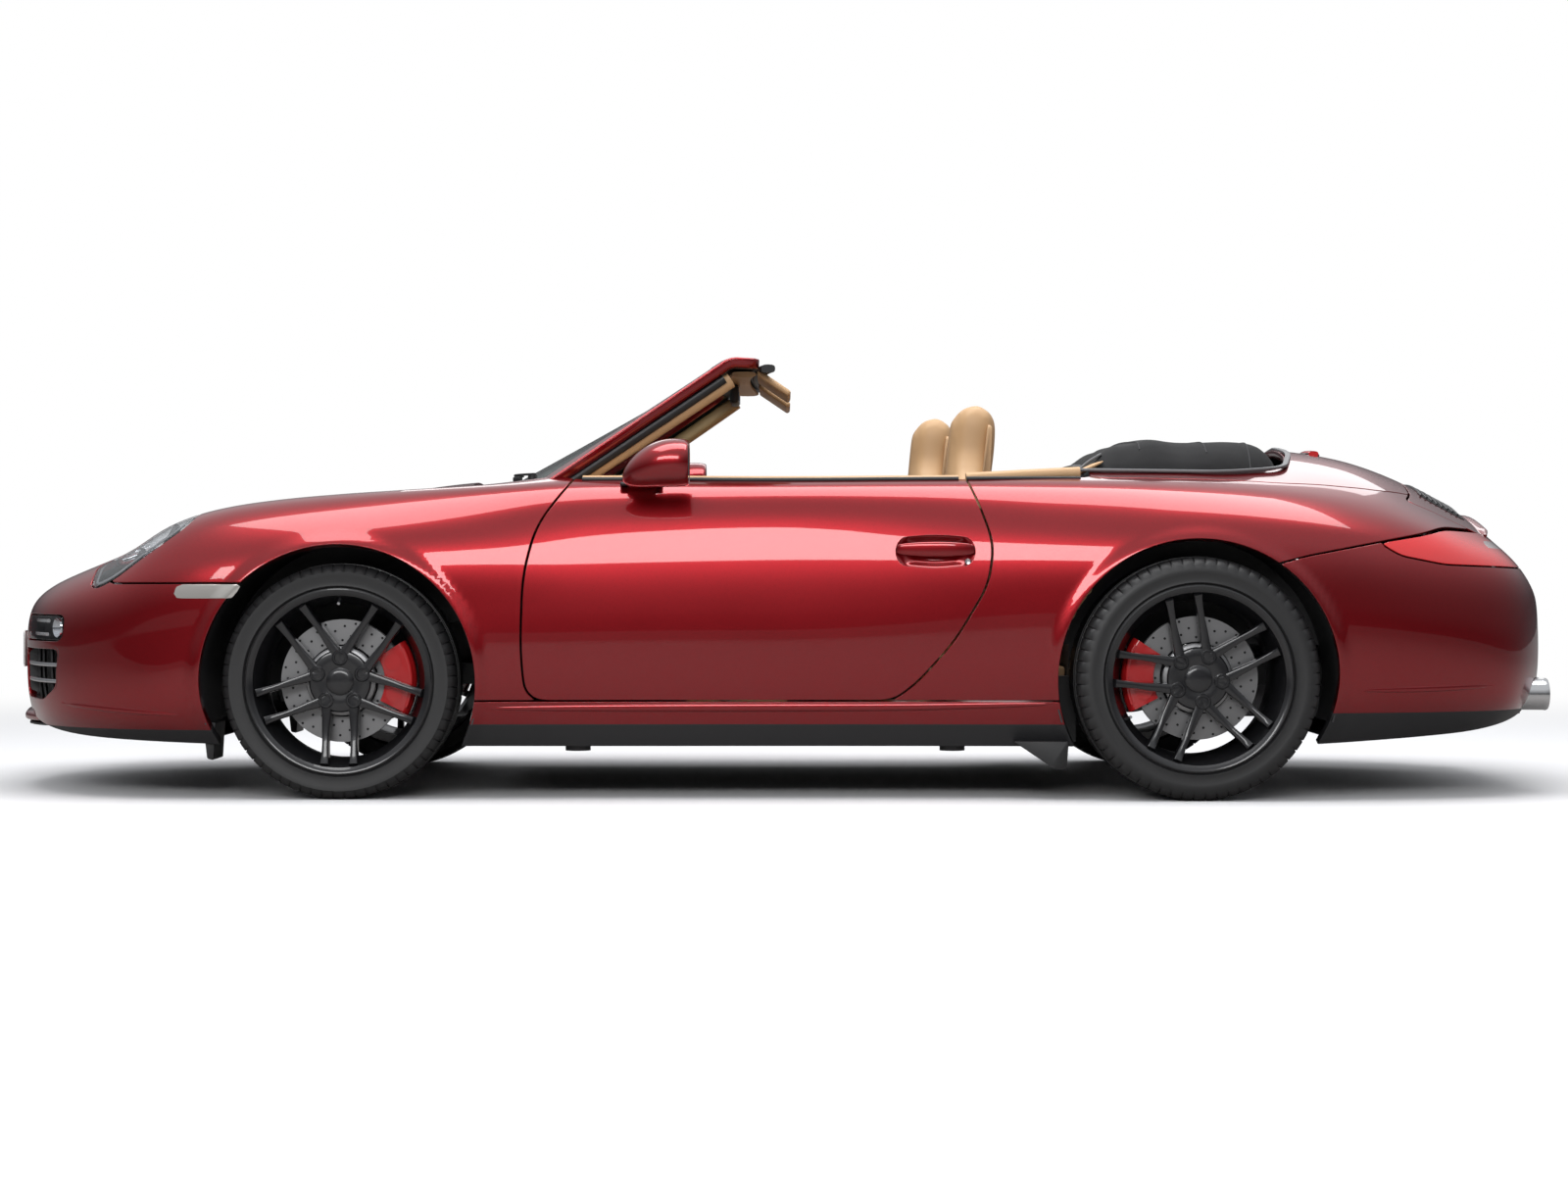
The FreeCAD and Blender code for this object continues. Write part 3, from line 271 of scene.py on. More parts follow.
def trimmed(sheet, value):
    """The part of a sheet where value(sheet) is above zero, cut along its zero line."""
    worth = value(sheet)
    solid = sheet.faces >= 0
    above = np.where(solid, worth[sheet.faces] >= 0, False).sum(axis=1)
    corners = solid.sum(axis=1)
    whole = sheet.faces[above == corners]
    mixed = sheet.faces[(above > 0) & (above < corners)]
    new, starts, ends, shares, cut = {}, [], [], [], []
    # Band of painted reflection across the rear of the tail lamps, in x and z
    count = len(sheet.points)
    for face in mixed.tolist():
        ring = [v for v in face if v >= 0]
        kept = []
        for a, b in zip(ring, ring[1:] + ring[:1]):
            if worth[a] >= 0:
                kept.append(a)
            if (worth[a] >= 0) != (worth[b] >= 0):
                key = (min(a, b), max(a, b))
                if key not in new:
                    new[key] = count + len(starts)
                    starts.append(a)
                    ends.append(b)
                    shares.append(worth[a] / (worth[a] - worth[b]))
                kept.append(new[key])
        for i in range(2, len(kept), 2):
            last = kept[i + 1] if i + 1 < len(kept) else -1
            cut.append([kept[0], kept[i - 1], kept[i], last])
    faces = np.array(whole.tolist() + cut, int).reshape(-1, 4)
    if not starts:
        return tidied(sheet.points, sheet.normals, sheet.tags, faces)
    share = np.array(shares)[:, None]
    parts = []
    for values in (sheet.points, sheet.normals, sheet.tags):
        parts.append(np.vstack([values, values[starts] * (1 - share) + values[ends] * share]))
    return tidied(parts[0], unit(parts[1]), parts[2], faces)


def rim_edges(faces):
    """Edges with a face on one side only, each in the direction of its face."""
    quads, triangles = faces[faces[:, 3] >= 0], faces[faces[:, 3] < 0][:, :3]
    pairs = [quads[:, [a, (a + 1) % 4]] for a in range(4)]
    pairs += [triangles[:, [a, (a + 1) % 3]] for a in range(3)]
    pairs = np.vstack(pairs)
    low, high = pairs.min(axis=1), pairs.max(axis=1)
    key = low.astype(np.int64) * (faces.max() + 1) + high
    _, index, counts = np.unique(key, return_inverse=True, return_counts=True)
    return pairs[counts[index] == 1]


def panel(name, sheet, thick, outside, inside=None, body="body", nodes=(), roll=1.8,
          steps=3):
    """A sheet made into a closed panel with a rolled edge and a thickness."""
    edges = rim_edges(sheet.faces)
    rim = np.unique(edges)
    order = np.full(len(sheet.points), -1)
    order[rim] = np.arange(len(rim))
    run = unit(sheet.points[edges[:, 1]] - sheet.points[edges[:, 0]])
    tangent = np.zeros((len(rim), 3))
    np.add.at(tangent, order[edges[:, 0]], run)
    np.add.at(tangent, order[edges[:, 1]], run)
    up = sheet.normals[rim]
    out = unit(np.cross(unit(tangent), up))
    base = sheet.points[rim]
    points, normals = [sheet.points], [sheet.normals]
    rings = [rim]
    count = len(sheet.points)
    for step in range(1, steps + 1):
        turn = math.pi / 2 * step / steps
        points.append(base + out * roll * math.sin(turn) - up * roll * (1 - math.cos(turn)))
        normals.append(up * math.cos(turn) + out * math.sin(turn))
        rings.append(count + np.arange(len(rim)))
        count += len(rim)
    points.append(base + out * roll - up * thick)
    normals.append(unit(out - up))
    rings.append(count + np.arange(len(rim)))
    count += len(rim)
    faces = [[v for v in f if v >= 0] for f in sheet.faces.tolist()]
    a, b = order[edges[:, 0]], order[edges[:, 1]]
    for upper, lower in zip(rings[:-1], rings[1:]):
        faces += np.stack([upper[b], upper[a], lower[a], lower[b]], axis=1).tolist()
    marks = [0] * len(faces)
    points.append(sheet.points - sheet.normals * thick)
    normals.append(-sheet.normals)
    faces += [[v + count for v in reversed(f)] for f in faces[:len(sheet.faces)]]
    inner = rim + count
    faces += np.stack([rings[-1][b], rings[-1][a], inner[a], inner[b]], axis=1).tolist()
    marks += [1] * (len(faces) - len(marks))
    return made(name, np.vstack(points), faces, [outside, inside or DARK], body, nodes,
                normals=np.vstack(normals), face_material=marks)


# Outlines
def softened(corners, reach, closed=True, steps=6):
    """An outline with each corner eased over the given reach."""
    corners = [np.array(c[:2], float) for c in corners]
    line = []
    for i, here in enumerate(corners):
        before, after = corners[i - 1], corners[(i + 1) % len(corners)]
        if not closed and i in (0, len(corners) - 1):
            line.append(here)
            continue
        to_before, to_after = before - here, after - here
        cut = min(reach, 0.46 * np.linalg.norm(to_before), 0.46 * np.linalg.norm(to_after))
        start = here + to_before / np.linalg.norm(to_before) * cut
        end = here + to_after / np.linalg.norm(to_after) * cut
        for step in range(steps + 1):
            t = step / steps
            line.append(start * (1 - t) ** 2 + here * 2 * t * (1 - t) + end * t * t)
    return np.array(line)


def depth_in(flat, outline):
    """Distance of each flat point from an outline, positive inside it."""
    best = np.full(len(flat), 1e18)
    crossed = np.zeros(len(flat), bool)
    ends = np.roll(outline, -1, axis=0)
    for a, b in zip(outline, ends):
        run = b - a
        share = np.clip(((flat - a) @ run) / max(run @ run, 1e-9), 0, 1)
        gap = flat - a - share[:, None] * run
        best = np.minimum(best, (gap * gap).sum(axis=1))
        if a[1] != b[1]:
            across = (flat[:, 1] < a[1]) != (flat[:, 1] < b[1])
            x = a[0] + (flat[:, 1] - a[1]) * run[0] / run[1]
            crossed ^= across & (flat[:, 0] < x)
    return np.sqrt(best) * np.where(crossed, 1, -1)


def flat_of(sheet, first, second):
    """Two coordinates of a sheet's points, the width without its sign."""
    return np.stack([np.abs(sheet.points[:, k]) if k == 1 else sheet.points[:, k]
                     for k in (first, second)], axis=1)


def side_view(outline, sign=1, margin=0.0):
    return lambda sheet: sign * depth_in(flat_of(sheet, 0, 2), outline) - margin


def plan_view(outline, low_z, sign=1, margin=0.0):
    """Outline in length and half width, for what lies above a height."""
    def value(sheet):
        inside = np.minimum(depth_in(flat_of(sheet, 0, 1), outline), sheet.points[:, 2] - low_z)
        return sign * inside - margin
    return value


def end_view(outline, front, sign=1, margin=0.0):
    """Outline in half width and height, for the nose or the tail."""
    def value(sheet):
        reach = -sheet.points[:, 0] if front else sheet.points[:, 0]
        inside = np.minimum(depth_in(flat_of(sheet, 1, 2), outline), reach - END_X)
        return sign * inside - margin
    return value


def round_view(centre, radius, margin=0.0):
    return lambda sheet: np.hypot(sheet.points[:, 0] - centre[0],
                                  sheet.points[:, 2] - centre[1]) - radius - margin


def limit(axis, low=None, high=None):
    def value(sheet):
        line = sheet.points[:, axis]
        if low is None:
            return high - line
        return line - low if high is None else np.minimum(line - low, high - line)
    return value


def half_of(side):
    return lambda sheet: side * sheet.points[:, 1]


def cut_all(sheet, *values):
    for value in values:
        sheet = trimmed(sheet, value)
    return sheet


# Body form: the same sections as the construction, eased along the length and round each section
# x, bottom z, y, low y, z, wide y, z, shoulder y, z, crown y, z, valley y, z, centre z
SECTIONS = [
    (-2215.8, 396, 4, 6, 398, 7, 400, 6, 402, 4, 404, 2, 405, 405),
    (-2213.5, 330, 150, 168, 350, 178, 395, 168, 440, 140, 462, 90, 468, 470),
    (-2180, 240, 330, 352, 270, 372, 390, 355, 480, 315, 512, 230, 520, 525),
    (-2090, 190, 520, 560, 225, 600, 400, 572, 525, 510, 568, 370, 577, 582),
    (-1960, 168, 650, 705, 215, 745, 410, 715, 555, 630, 616, 440, 628, 640),
    (-1830, 160, 730, 790, 215, 828, 430, 800, 590, 690, 666, 480, 672, 690),
    (-1700, 155, 775, 845, 230, 868, 450, 845, 640, 705, 752, 500, 718, 732),
    (-1550, 150, 795, 868, 250, 890, 480, 868, 670, 705, 803, 520, 766, 778),
    (-1207.5, 145, 800, 880, 280, 905, 520, 875, 715, 720, 840, 560, 824, 850),
    (-880, 145, 800, 868, 280, 888, 540, 862, 725, 748, 853, 640, 864, 896),
    (-560, 145, 800, 850, 280, 866, 545, 842, 730, 775, 858, 710, 885, 905),
    (0, 145, 795, 842, 280, 858, 545, 836, 735, 775, 860, 710, 880, 900),
    (520, 145, 800, 855, 290, 876, 550, 852, 740, 775, 862, 710, 885, 930),
    (850, 145, 820, 885, 300, 908, 560, 880, 745, 785, 862, 700, 888, 975),
    (1142.5, 145, 830, 905, 310, 926, 570, 895, 745, 790, 852, 690, 885, 995),
    (1450, 150, 820, 900, 310, 920, 560, 885, 735, 770, 832, 660, 872, 992),
    (1640, 160, 790, 875, 300, 898, 550, 860, 710, 745, 802, 620, 852, 968),
    (1800, 170, 745, 835, 290, 860, 535, 815, 690, 700, 768, 560, 815, 918),
    (1930, 180, 680, 770, 270, 800, 520, 755, 660, 640, 724, 480, 770, 855),
    (2050, 200, 580, 675, 255, 705, 505, 660, 630, 560, 682, 420, 717, 785),
    (2140, 235, 440, 520, 275, 550, 490, 510, 580, 440, 616, 320, 633, 642),
    (2190, 280, 300, 365, 310, 395, 480, 370, 540, 320, 561, 220, 571, 576),
    (2213.5, 370, 150, 185, 390, 205, 450, 190, 500, 165, 516, 110, 521, 523),
    (2215.8, 444, 4, 6, 446, 7, 450, 6, 454, 4, 456, 2, 457, 457),
]
ROWS = 350
SPAN_STEPS = (6, 17, 17, 15, 10, 22)
LIP_REACH, LIP_PUSH = 36, 7


def eased(share):
    """Smooth step from 0 to 1."""
    share = np.clip(share, 0, 1)
    return share * share * (3 - 2 * share)


def averaged(values, reach):
    """Each value averaged with this many neighbours on either side."""
    wide = 2 * reach + 1
    return np.convolve(np.pad(values, reach, mode="edge"), np.ones(wide) / wide, mode="valid")


def through(knots, values, at):
    """Smooth curve without overshoot through rows of values."""
    step = np.diff(knots)[:, None]
    slope = np.diff(values, axis=0) / step
    before, after = slope[:-1], slope[1:]
    w1, w2 = 2 * step[1:] + step[:-1], step[1:] + 2 * step[:-1]
    same = before * after > 0
    safe_before, safe_after = np.where(same, before, 1), np.where(same, after, 1)
    inner = np.where(same, (w1 + w2) / (w1 / safe_before + w2 / safe_after), 0)
    tangent = np.vstack([slope[:1], inner, slope[-1:]])
    i = np.clip(np.searchsorted(knots, at, side="right") - 1, 0, len(knots) - 2)
    h = step[i]
    t = ((at - knots[i])[:, None]) / h
    return (values[i] * (2 * t ** 3 - 3 * t ** 2 + 1) + tangent[i] * h * (t ** 3 - 2 * t ** 2 + t)
            + values[i + 1] * (3 * t ** 2 - 2 * t ** 3) + tangent[i + 1] * h * (t ** 3 - t ** 2))


def eased_rows(at, rows, reach):
    """Rows averaged with their neighbours, the ends held."""
    ends = 60
    at_all = np.concatenate([2 * at[0] - at[ends:0:-1], at, 2 * at[-1] - at[-2:-ends - 2:-1]])
    rows_all = np.vstack([2 * rows[0] - rows[ends:0:-1], rows, 2 * rows[-1] - rows[-2:-ends - 2:-1]])
    weight = np.exp(-0.5 * ((at[:, None] - at_all[None, :]) / reach[:, None]) ** 2)
    return (weight / weight.sum(axis=1, keepdims=True)) @ rows_all


def ring_points(half):
    """Cubic spline round each section: rings, 7 points from the bottom to the centre, (y, z)."""
    line = np.concatenate([half * [-1, 1], half[:, -2::-1]], axis=1)
    run = np.diff(line, axis=1)
    h = np.maximum(np.linalg.norm(run, axis=2), 1e-6)
    rings, count = line.shape[:2]
    system = np.zeros((rings, count, count))
    system[:, 0, 0] = system[:, -1, -1] = 1
    right = np.zeros((rings, count, 2))
    slope = run / h[..., None]
    for k in range(1, count - 1):
        system[:, k, k - 1], system[:, k, k + 1] = h[:, k - 1], h[:, k]
        system[:, k, k] = 2 * (h[:, k - 1] + h[:, k])
        right[:, k] = 6 * (slope[:, k] - slope[:, k - 1])
    bend = np.linalg.solve(system, right)
    parts = []
    steps = SPAN_STEPS + SPAN_STEPS[::-1]
    for k, number in enumerate(steps):
        t = np.linspace(0, 1, number + 1)[None, :, None]
        t = t if k == count - 2 else t[:, :-1]
        hk = h[:, k, None, None] ** 2 / 6
        parts.append(line[:, k, None] * (1 - t) + line[:, k + 1, None] * t
                     + hk * (((1 - t) ** 3 - (1 - t)) * bend[:, k, None]
                             + (t ** 3 - t) * bend[:, k + 1, None]))
    return np.concatenate(parts, axis=1)


def body_grid():
    table = np.array(SECTIONS, float)
    change = np.diff(table[:, [0, 5, 13]], axis=0)
    knots = np.concatenate([[0], np.cumsum(np.sqrt((change ** 2 * [1, 0.6, 0.6]).sum(axis=1)))])
    fine = np.linspace(0, knots[-1], 900)
    rows = through(knots, table, fine)
    reach = np.clip(0.24 * np.interp(fine, knots, np.gradient(knots)), 5, 75)
    rows = eased_rows(fine, rows, reach)
    at = np.linspace(0, knots[-1], ROWS)
    rows = np.stack([np.interp(at, fine, rows[:, c]) for c in range(rows.shape[1])], axis=1)
    half = np.stack([rows[:, [2, 1]]] + [rows[:, [c, c + 1]] for c in range(3, 13, 2)]
                    + [np.stack([0 * rows[:, 13], rows[:, 13]], axis=1)], axis=1)
    flat = ring_points(half)
    points = np.concatenate([np.broadcast_to(rows[:, None, :1], flat.shape[:2] + (1,)), flat], axis=2)
    for (x, z), radius in ((FRONT_AXLE, FRONT_ARCH), (REAR_AXLE, REAR_ARCH)):
        away = np.abs(np.hypot(points[..., 0] - x, points[..., 2] - z) - radius) / LIP_REACH
        side = np.clip((np.abs(points[..., 1]) - 640) / 120, 0, 1)
        points[..., 1] += np.sign(points[..., 1]) * LIP_PUSH * eased(1 - away) * side
    return points


# Panel outlines: side views in x and z, plan views in x and half width
door_line = softened([
    (-696, 270), (-708, 420), (-702, 610), (-668, 750), (-558, 900), (-540, 1000), (500, 1000),
    (511, 900), (556, 790), (586, 700), (572, 590), (476, 430), (376, 320), (311, 270)], 60)
front_lid_line = softened([
    (-1905, 380), (-1700, 445), (-1450, 515), (-1150, 590), (-950, 620), (-850, 620), (-885, 420),
    (-900, 200), (-902, -300), (-1906, -300), (-1909, 0), (-1908, 200)], 60)
front_bumper_line = softened([
    (-2400, -50), (-1380, -50), (-1380, 593), (-1850, 593), (-1880, 653), (-1880, 1000),
    (-2400, 1000)], 20)
sill_line = np.array([(-1000, -50), (940, -50), (940, 270), (-1000, 270)], float)
rear_bumper_line = softened([
    (1330, -50), (2400, -50), (2400, 1000), (2040, 1000), (2040, 742), (1850, 748), (1780, 730),
    (1600, 698), (1440, 668), (1330, 640)], 30)
engine_lid_line = softened([
    (1840, 200), (1815, 420), (1775, 560), (2050, 470), (2062, 200), (2066, -300), (1846, -300)], 40)
deck_line = softened([
    (1850, 200), (1820, 420), (1700, 560), (1600, 615), (1400, 675), (1100, 700), (868, 705),
    (868, -300), (1856, -300)], 40)
well_line = softened([(600, 612), (1250, 612), (1430, 520), (1475, 300), (1484, -300), (600, -300)], 70)
cabin_line = softened([
    (-650, 640), (-560, 722), (560, 722), (700, 712), (872, 705), (872, -300), (-650, -300)], 40)
cowl_line = np.array([(-950, 655), (-560, 655), (-560, -300), (-950, -300)], float)
head_lamp_line = softened([
    (-1912, 572), (-1930, 660), (-1800, 800), (-1640, 850), (-1604, 806), (-1640, 752), (-1698, 706),
    (-1753, 668), (-1844, 600)], 34)
head_lamp_plan = softened([
    (-1910, 640), (-1876, 560), (-1800, 512), (-1715, 520), (-1645, 575), (-1600, 680),
    (-1600, 1000), (-1910, 1000)], 70)
tail_lamp_line = softened([
    (1640, 704), (1700, 668), (1830, 644), (2130, 634), (2130, 700), (2050, 736), (1850, 742),
    (1780, 726)], 24)
front_light_line = softened([(420, 432), (420, 503), (706, 503), (706, 432)], 24)
side_intake_line = softened([(392, 268), (385, 410), (696, 410), (680, 300), (600, 262)], 22)
strip_line = softened([(-100, 628), (-100, 652), (345, 652), (345, 628)], 4)
handle_line = softened([(313, 680), (330, 640), (427, 632), (524, 640), (541, 680), (524, 720),
                        (427, 728), (330, 720)], 40)
tip_slot_line = softened([(374, 228), (374, 324), (566, 324), (566, 228)], 46)

whole = grid_sheet(body_grid())
GAP = HALF_GAP + 1.8


def head_lamp_depth(sheet):
    return np.minimum(depth_in(flat_of(sheet, 0, 2), head_lamp_line),
                      depth_in(flat_of(sheet, 0, 1), head_lamp_plan))


def tail_lamp_depth(sheet):
    return np.minimum(depth_in(flat_of(sheet, 0, 2), tail_lamp_line),
                      np.abs(sheet.points[:, 1]) - 330)


def front_light_depth(sheet):
    return np.minimum(depth_in(flat_of(sheet, 1, 2), front_light_line), -1970 - sheet.points[:, 0])


def beside(depth):
    """Cut value for what lies a gap outside a lamp."""
    return lambda sheet: -depth(sheet) - GAP


def within(depth, margin=-1):
    """Cut value for what lies a margin and a gap inside a lamp."""
    return lambda sheet: depth(sheet) - GAP - margin


front_arch = round_view(FRONT_AXLE, FRONT_ARCH)
rear_arch = round_view(REAR_AXLE, REAR_ARCH)
off_front_lid = plan_view(front_lid_line, FRONT_LID_Z, -1, GAP)
off_engine_lid = plan_view(engine_lid_line, ENGINE_LID_Z, -1, GAP)
off_cabin = plan_view(cabin_line, 600, -1, 0)


def bumper_panels():
    nose = cut_all(whole, limit(0, high=-1350), side_view(front_bumper_line, 1, GAP), off_front_lid,
                   beside(head_lamp_depth), front_arch, beside(front_light_depth))
    red = cut_all(nose, end_view(side_intake_line, True, -1), limit(2, low=190))
    panel("front_bumper_skin", red, SKIN, PAINT, TRIM, nodes="front_bumper")
    panel("front_lip", trimmed(nose, limit(2, high=188)), SKIN, TRIM, nodes="front_bumper")
    tail = cut_all(whole, limit(0, low=1300), side_view(rear_bumper_line, 1, GAP), off_engine_lid,
                   rear_arch, beside(tail_lamp_depth), end_view(tip_slot_line, False, -1))
    red = cut_all(tail, end_view(strip_line, False, -1), limit(2, low=238))
    panel("rear_bumper_skin", red, SKIN, PAINT, TRIM, nodes="rear_bumper")
    panel("rear_skirt", trimmed(tail, limit(2, high=236)), SKIN, TRIM, nodes="rear_bumper")
    strip = cut_all(whole, limit(0, low=END_X), end_view(strip_line, False, 1, 1))
    panel("tail_reflector_strip", strip, 8, RED_LENS, nodes="tail_lamps")


def side_panels():
    rest = cut_all(whole, front_arch, rear_arch, side_view(front_bumper_line, -1, GAP),
                   side_view(rear_bumper_line, -1, GAP), off_cabin)
    above = cut_all(rest, side_view(sill_line, -1, GAP), side_view(door_line, -1, GAP))
    fenders = cut_all(above, limit(0, high=0), off_front_lid, beside(head_lamp_depth),
                      plan_view(cowl_line, 700, -1, 0))
    panel("fender_skins", fenders, SKIN, PAINT, nodes="fenders")
    quarters = cut_all(above, limit(0, low=0), plan_view(deck_line, 650, -1, GAP), off_engine_lid,
                       beside(tail_lamp_depth))
    panel("quarter_skins", quarters, SKIN, PAINT, nodes="quarters")
    low = cut_all(rest, side_view(sill_line, 1, GAP))
    panel("sill_skins", trimmed(low, limit(2, low=BLACK_LINE_Z)), SKIN, PAINT, nodes="sills")
    panel("sill_skirts", trimmed(low, limit(2, high=BLACK_LINE_Z - 2)), SKIN, TRIM, nodes="sills")
    for side, word in SIDES:
        door = cut_all(whole, limit(0, -800, 700), half_of(side), side_view(door_line, 1, GAP), off_cabin,
                       side_view(handle_line, -1, 0))
        panel("door_skin_" + word, door, 58, PAINT, LEATHER, "door_" + word, "door_" + word)


def lid_panels():
    lid = cut_all(whole, limit(0, high=-700), plan_view(front_lid_line, FRONT_LID_Z, 1, GAP))
    panel("front_lid_skin", lid, 18, PAINT, body="front_lid", nodes="front_lid")
    deck = cut_all(whole, limit(0, low=500), plan_view(deck_line, 650, 1, GAP),
                   plan_view(well_line, 600, -1, 0), off_engine_lid,
                   side_view(rear_bumper_line, -1, GAP))
    panel("tonneau_skin", deck, SKIN, PAINT, nodes="tonneau_cover")
    lid = cut_all(whole, limit(0, low=1500), plan_view(engine_lid_line, ENGINE_LID_Z, 1, GAP))
    panel("engine_lid_skin", lid, 18, PAINT, body="engine_lid", nodes="engine_lid")


bumper_panels()
side_panels()
lid_panels()


# Solids from simple forms
def face_outwards(mesh):
    form = bmesh.new()
    form.from_mesh(mesh)
    bmesh.ops.recalc_face_normals(form, faces=form.faces)
    form.to_mesh(mesh)
    form.free()


def solid(name, points, faces, materials, body="body", nodes=(), slot=None, sharp=40,
          face_material=None):
    """A closed form with its faces turned outwards."""
    obj = made(name, points, faces, materials, body, nodes, face_material=face_material)
    face_outwards(obj.data)
    if sharp:
        obj.data.set_sharp_from_angle(angle=math.radians(sharp))
    return obj


def joined(*forms):
    """Several forms as one."""
    points, faces, count = [], [], 0
    for some, several in forms:
        points.append(np.asarray(some, float))
        faces += [[v + count for v in f] for f in several]
        count += len(some)
    return np.vstack(points), faces


def ring_faces(rings, count, loop=False):
    """Faces between rings of points, closed at both ends or from the last ring to the first."""
    faces = []
    for i in range(rings if loop else rings - 1):
        here, there = i * count, (i + 1) % rings * count
        faces += [[here + j, here + (j + 1) % count, there + (j + 1) % count, there + j]
                  for j in range(count)]
    if not loop:
        last = (rings - 1) * count
        faces += [list(range(count)), list(range(last, last + count))[::-1]]
    return faces


def closed_below(sheet, low=846):
    """A sheet closed by walls down to its own outline at one height."""
    count = len(sheet.points)
    under = sheet.points.copy()
    under[:, 2] = low
    faces = [[v for v in f if v >= 0] for f in sheet.faces.tolist()]
    walls = [[b, a, a + count, b + count] for a, b in rim_edges(sheet.faces).tolist()]
    return (np.vstack([sheet.points, under]),
            faces + [[v + count for v in f[::-1]] for f in faces] + walls)


def turned(profile, steps, drop=None, start=0.0, end=2 * math.pi):
    """Closed profile of (out, radius) turned about the axle, in local x, out, z."""
    profile = np.array(profile, float)
    full = abs(end - start) > 6.28
    angle = np.linspace(start, end, steps, endpoint=not full)
    radius = np.broadcast_to(profile[None, :, 1], (steps, len(profile)))
    if drop is not None:
        radius = radius - drop
    out = np.broadcast_to(profile[None, :, 0], radius.shape)
    points = np.stack([radius * np.cos(angle)[:, None], out, radius * np.sin(angle)[:, None]], axis=-1)
    return points.reshape(-1, 3), ring_faces(steps, len(profile), full)


def swept(path, profile, up=(0, 0, 1), loop=False, scale=None):
    """Closed profile of (across, up) carried along a path."""
    path, profile = np.array(path, float), np.array(profile, float)
    if loop:
        run = unit(np.roll(path, -1, axis=0) - np.roll(path, 1, axis=0))
    else:
        run = unit(np.gradient(path, axis=0))
    across = unit(np.cross(run, np.broadcast_to(np.array(up, float), path.shape)))
    top = np.cross(across, run)
    size = np.ones((len(path), 2)) if scale is None else np.array(scale, float).reshape(len(path), -1)
    size = np.broadcast_to(size, (len(path), 2))
    points = (path[:, None] + across[:, None] * (profile[None, :, :1] * size[:, None, :1])
              + top[:, None] * (profile[None, :, 1:] * size[:, None, 1:]))
    return points.reshape(-1, 3), ring_faces(len(path), len(profile), loop)


def oval(width, height, power=2.0, count=16):
    """Closed rounded outline, squarer with a higher power."""
    angle = np.linspace(0, 2 * math.pi, count, endpoint=False)
    c, s = np.cos(angle), np.sin(angle)
    return np.stack([np.sign(c) * np.abs(c) ** (2 / power) * width / 2,
                     np.sign(s) * np.abs(s) ** (2 / power) * height / 2], axis=1)


def curve(corners, count=24):
    """Smooth path through a few points."""
    corners = np.array(corners, float)
    knots = np.concatenate([[0], np.cumsum(np.linalg.norm(np.diff(corners, axis=0), axis=1))])
    return through(knots, corners, np.linspace(0, knots[-1], count))


def block(low, high, bevel=3.0, segments=2):
    """Box with rounded edges, as points and faces."""
    form = bmesh.new()
    bmesh.ops.create_cube(form, size=1)
    low, high = np.array(low, float), np.array(high, float)
    for vertex in form.verts:
        vertex.co = Vector(((np.array(vertex.co) + 0.5) * (high - low) + low).tolist())
    if bevel:
        bmesh.ops.bevel(form, geom=form.edges[:], offset=bevel, segments=segments, affect="EDGES",
                        profile=0.5)
    form.verts.index_update()
    points = [list(v.co) for v in form.verts]
    faces = [[v.index for v in f.verts] for f in form.faces]
    form.free()
    return np.array(points), faces


def spun(shape, angle, axis, about=(0, 0, 0)):
    """A form turned by an angle in degrees about an axis through a point."""
    points, faces = shape
    turn = np.array(Matrix.Rotation(math.radians(angle), 3, Vector(axis)))
    return (np.asarray(points) - about) @ turn.T + about, faces


def moved(shape, shift):
    return np.asarray(shape[0], float) + shift, shape[1]


def flipped(shape):
    """Mirror image across the car."""
    return np.asarray(shape[0], float) * [1, -1, 1], [f[::-1] for f in shape[1]]


def on_side(side, shape):
    """A form of the right side as it is, or its mirror image for the left."""
    return flipped(shape) if side < 0 else shape


def both(shape):
    return joined(shape, flipped(shape))


def body_point(place, axis, chosen, out):
    """Point of the body with two given coordinates; the one along the axis comes from near points."""
    fixed = [k for k in range(3) if k != axis]
    away = ((whole.points[:, fixed] - place) ** 2).sum(axis=1) + np.where(chosen, 0, FAR)
    near = np.argsort(away)[:4]
    share = 1 / (away[near] + 1)
    share = (share / share.sum())[:, None]
    found = np.insert(np.array(place, float), axis, (whole.points[near] * share).sum(axis=0)[axis])
    return found + (whole.normals[near] * share).sum(axis=0) * out


def skin_point(x, z, out):
    """Point on the body side at this length and height, moved outwards."""
    return body_point((x, z), 1, whole.points[:, 1] > 350, out)


def top_point(x, y, out=0.0):
    """Point on top of the body, moved outwards."""
    return body_point((x, y), 2, whole.points[:, 2] > 560, out)


# Wheels: half is half the track, wide half the tyre's width, phase the angle of the first spoke
Wheel = namedtuple("Wheel", "x z side half face rim_half radius wide phase")
WHEELS = {}
for end, axle, sizes in (("front_", FRONT_AXLE, (744, 62, 114, 323.5, 117.5, 90)),
                         ("rear_", REAR_AXLE, (774, 96, 148, 333.0, 150.5, 65))):
    for side, word in SIDES:
        WHEELS[end + word] = Wheel(*axle, side, *sizes)
BOLT_RADIUS = 65
BLOCKS = 64
GROOVE_DEPTH, CUT_DEPTH = 6.5, 5.0
DISC_SET_BACK, DISC_THICK = 31, 30


def at_wheel(shape, wheel):
    points = np.asarray(shape[0], float)
    return np.stack([wheel.x + points[:, 0], wheel.side * (wheel.half + points[:, 1]),
                     wheel.z + points[:, 2]], axis=1), shape[1]


def rod(start, end, radius, steps=20):
    """Round bar between two points."""
    start, end = np.array(start, float), np.array(end, float)
    run = unit(end - start)
    up = (0, 0, 1) if abs(run[2]) < 0.9 else (1, 0, 0)
    return swept([start, end], oval(2 * radius, 2 * radius, count=steps), up)


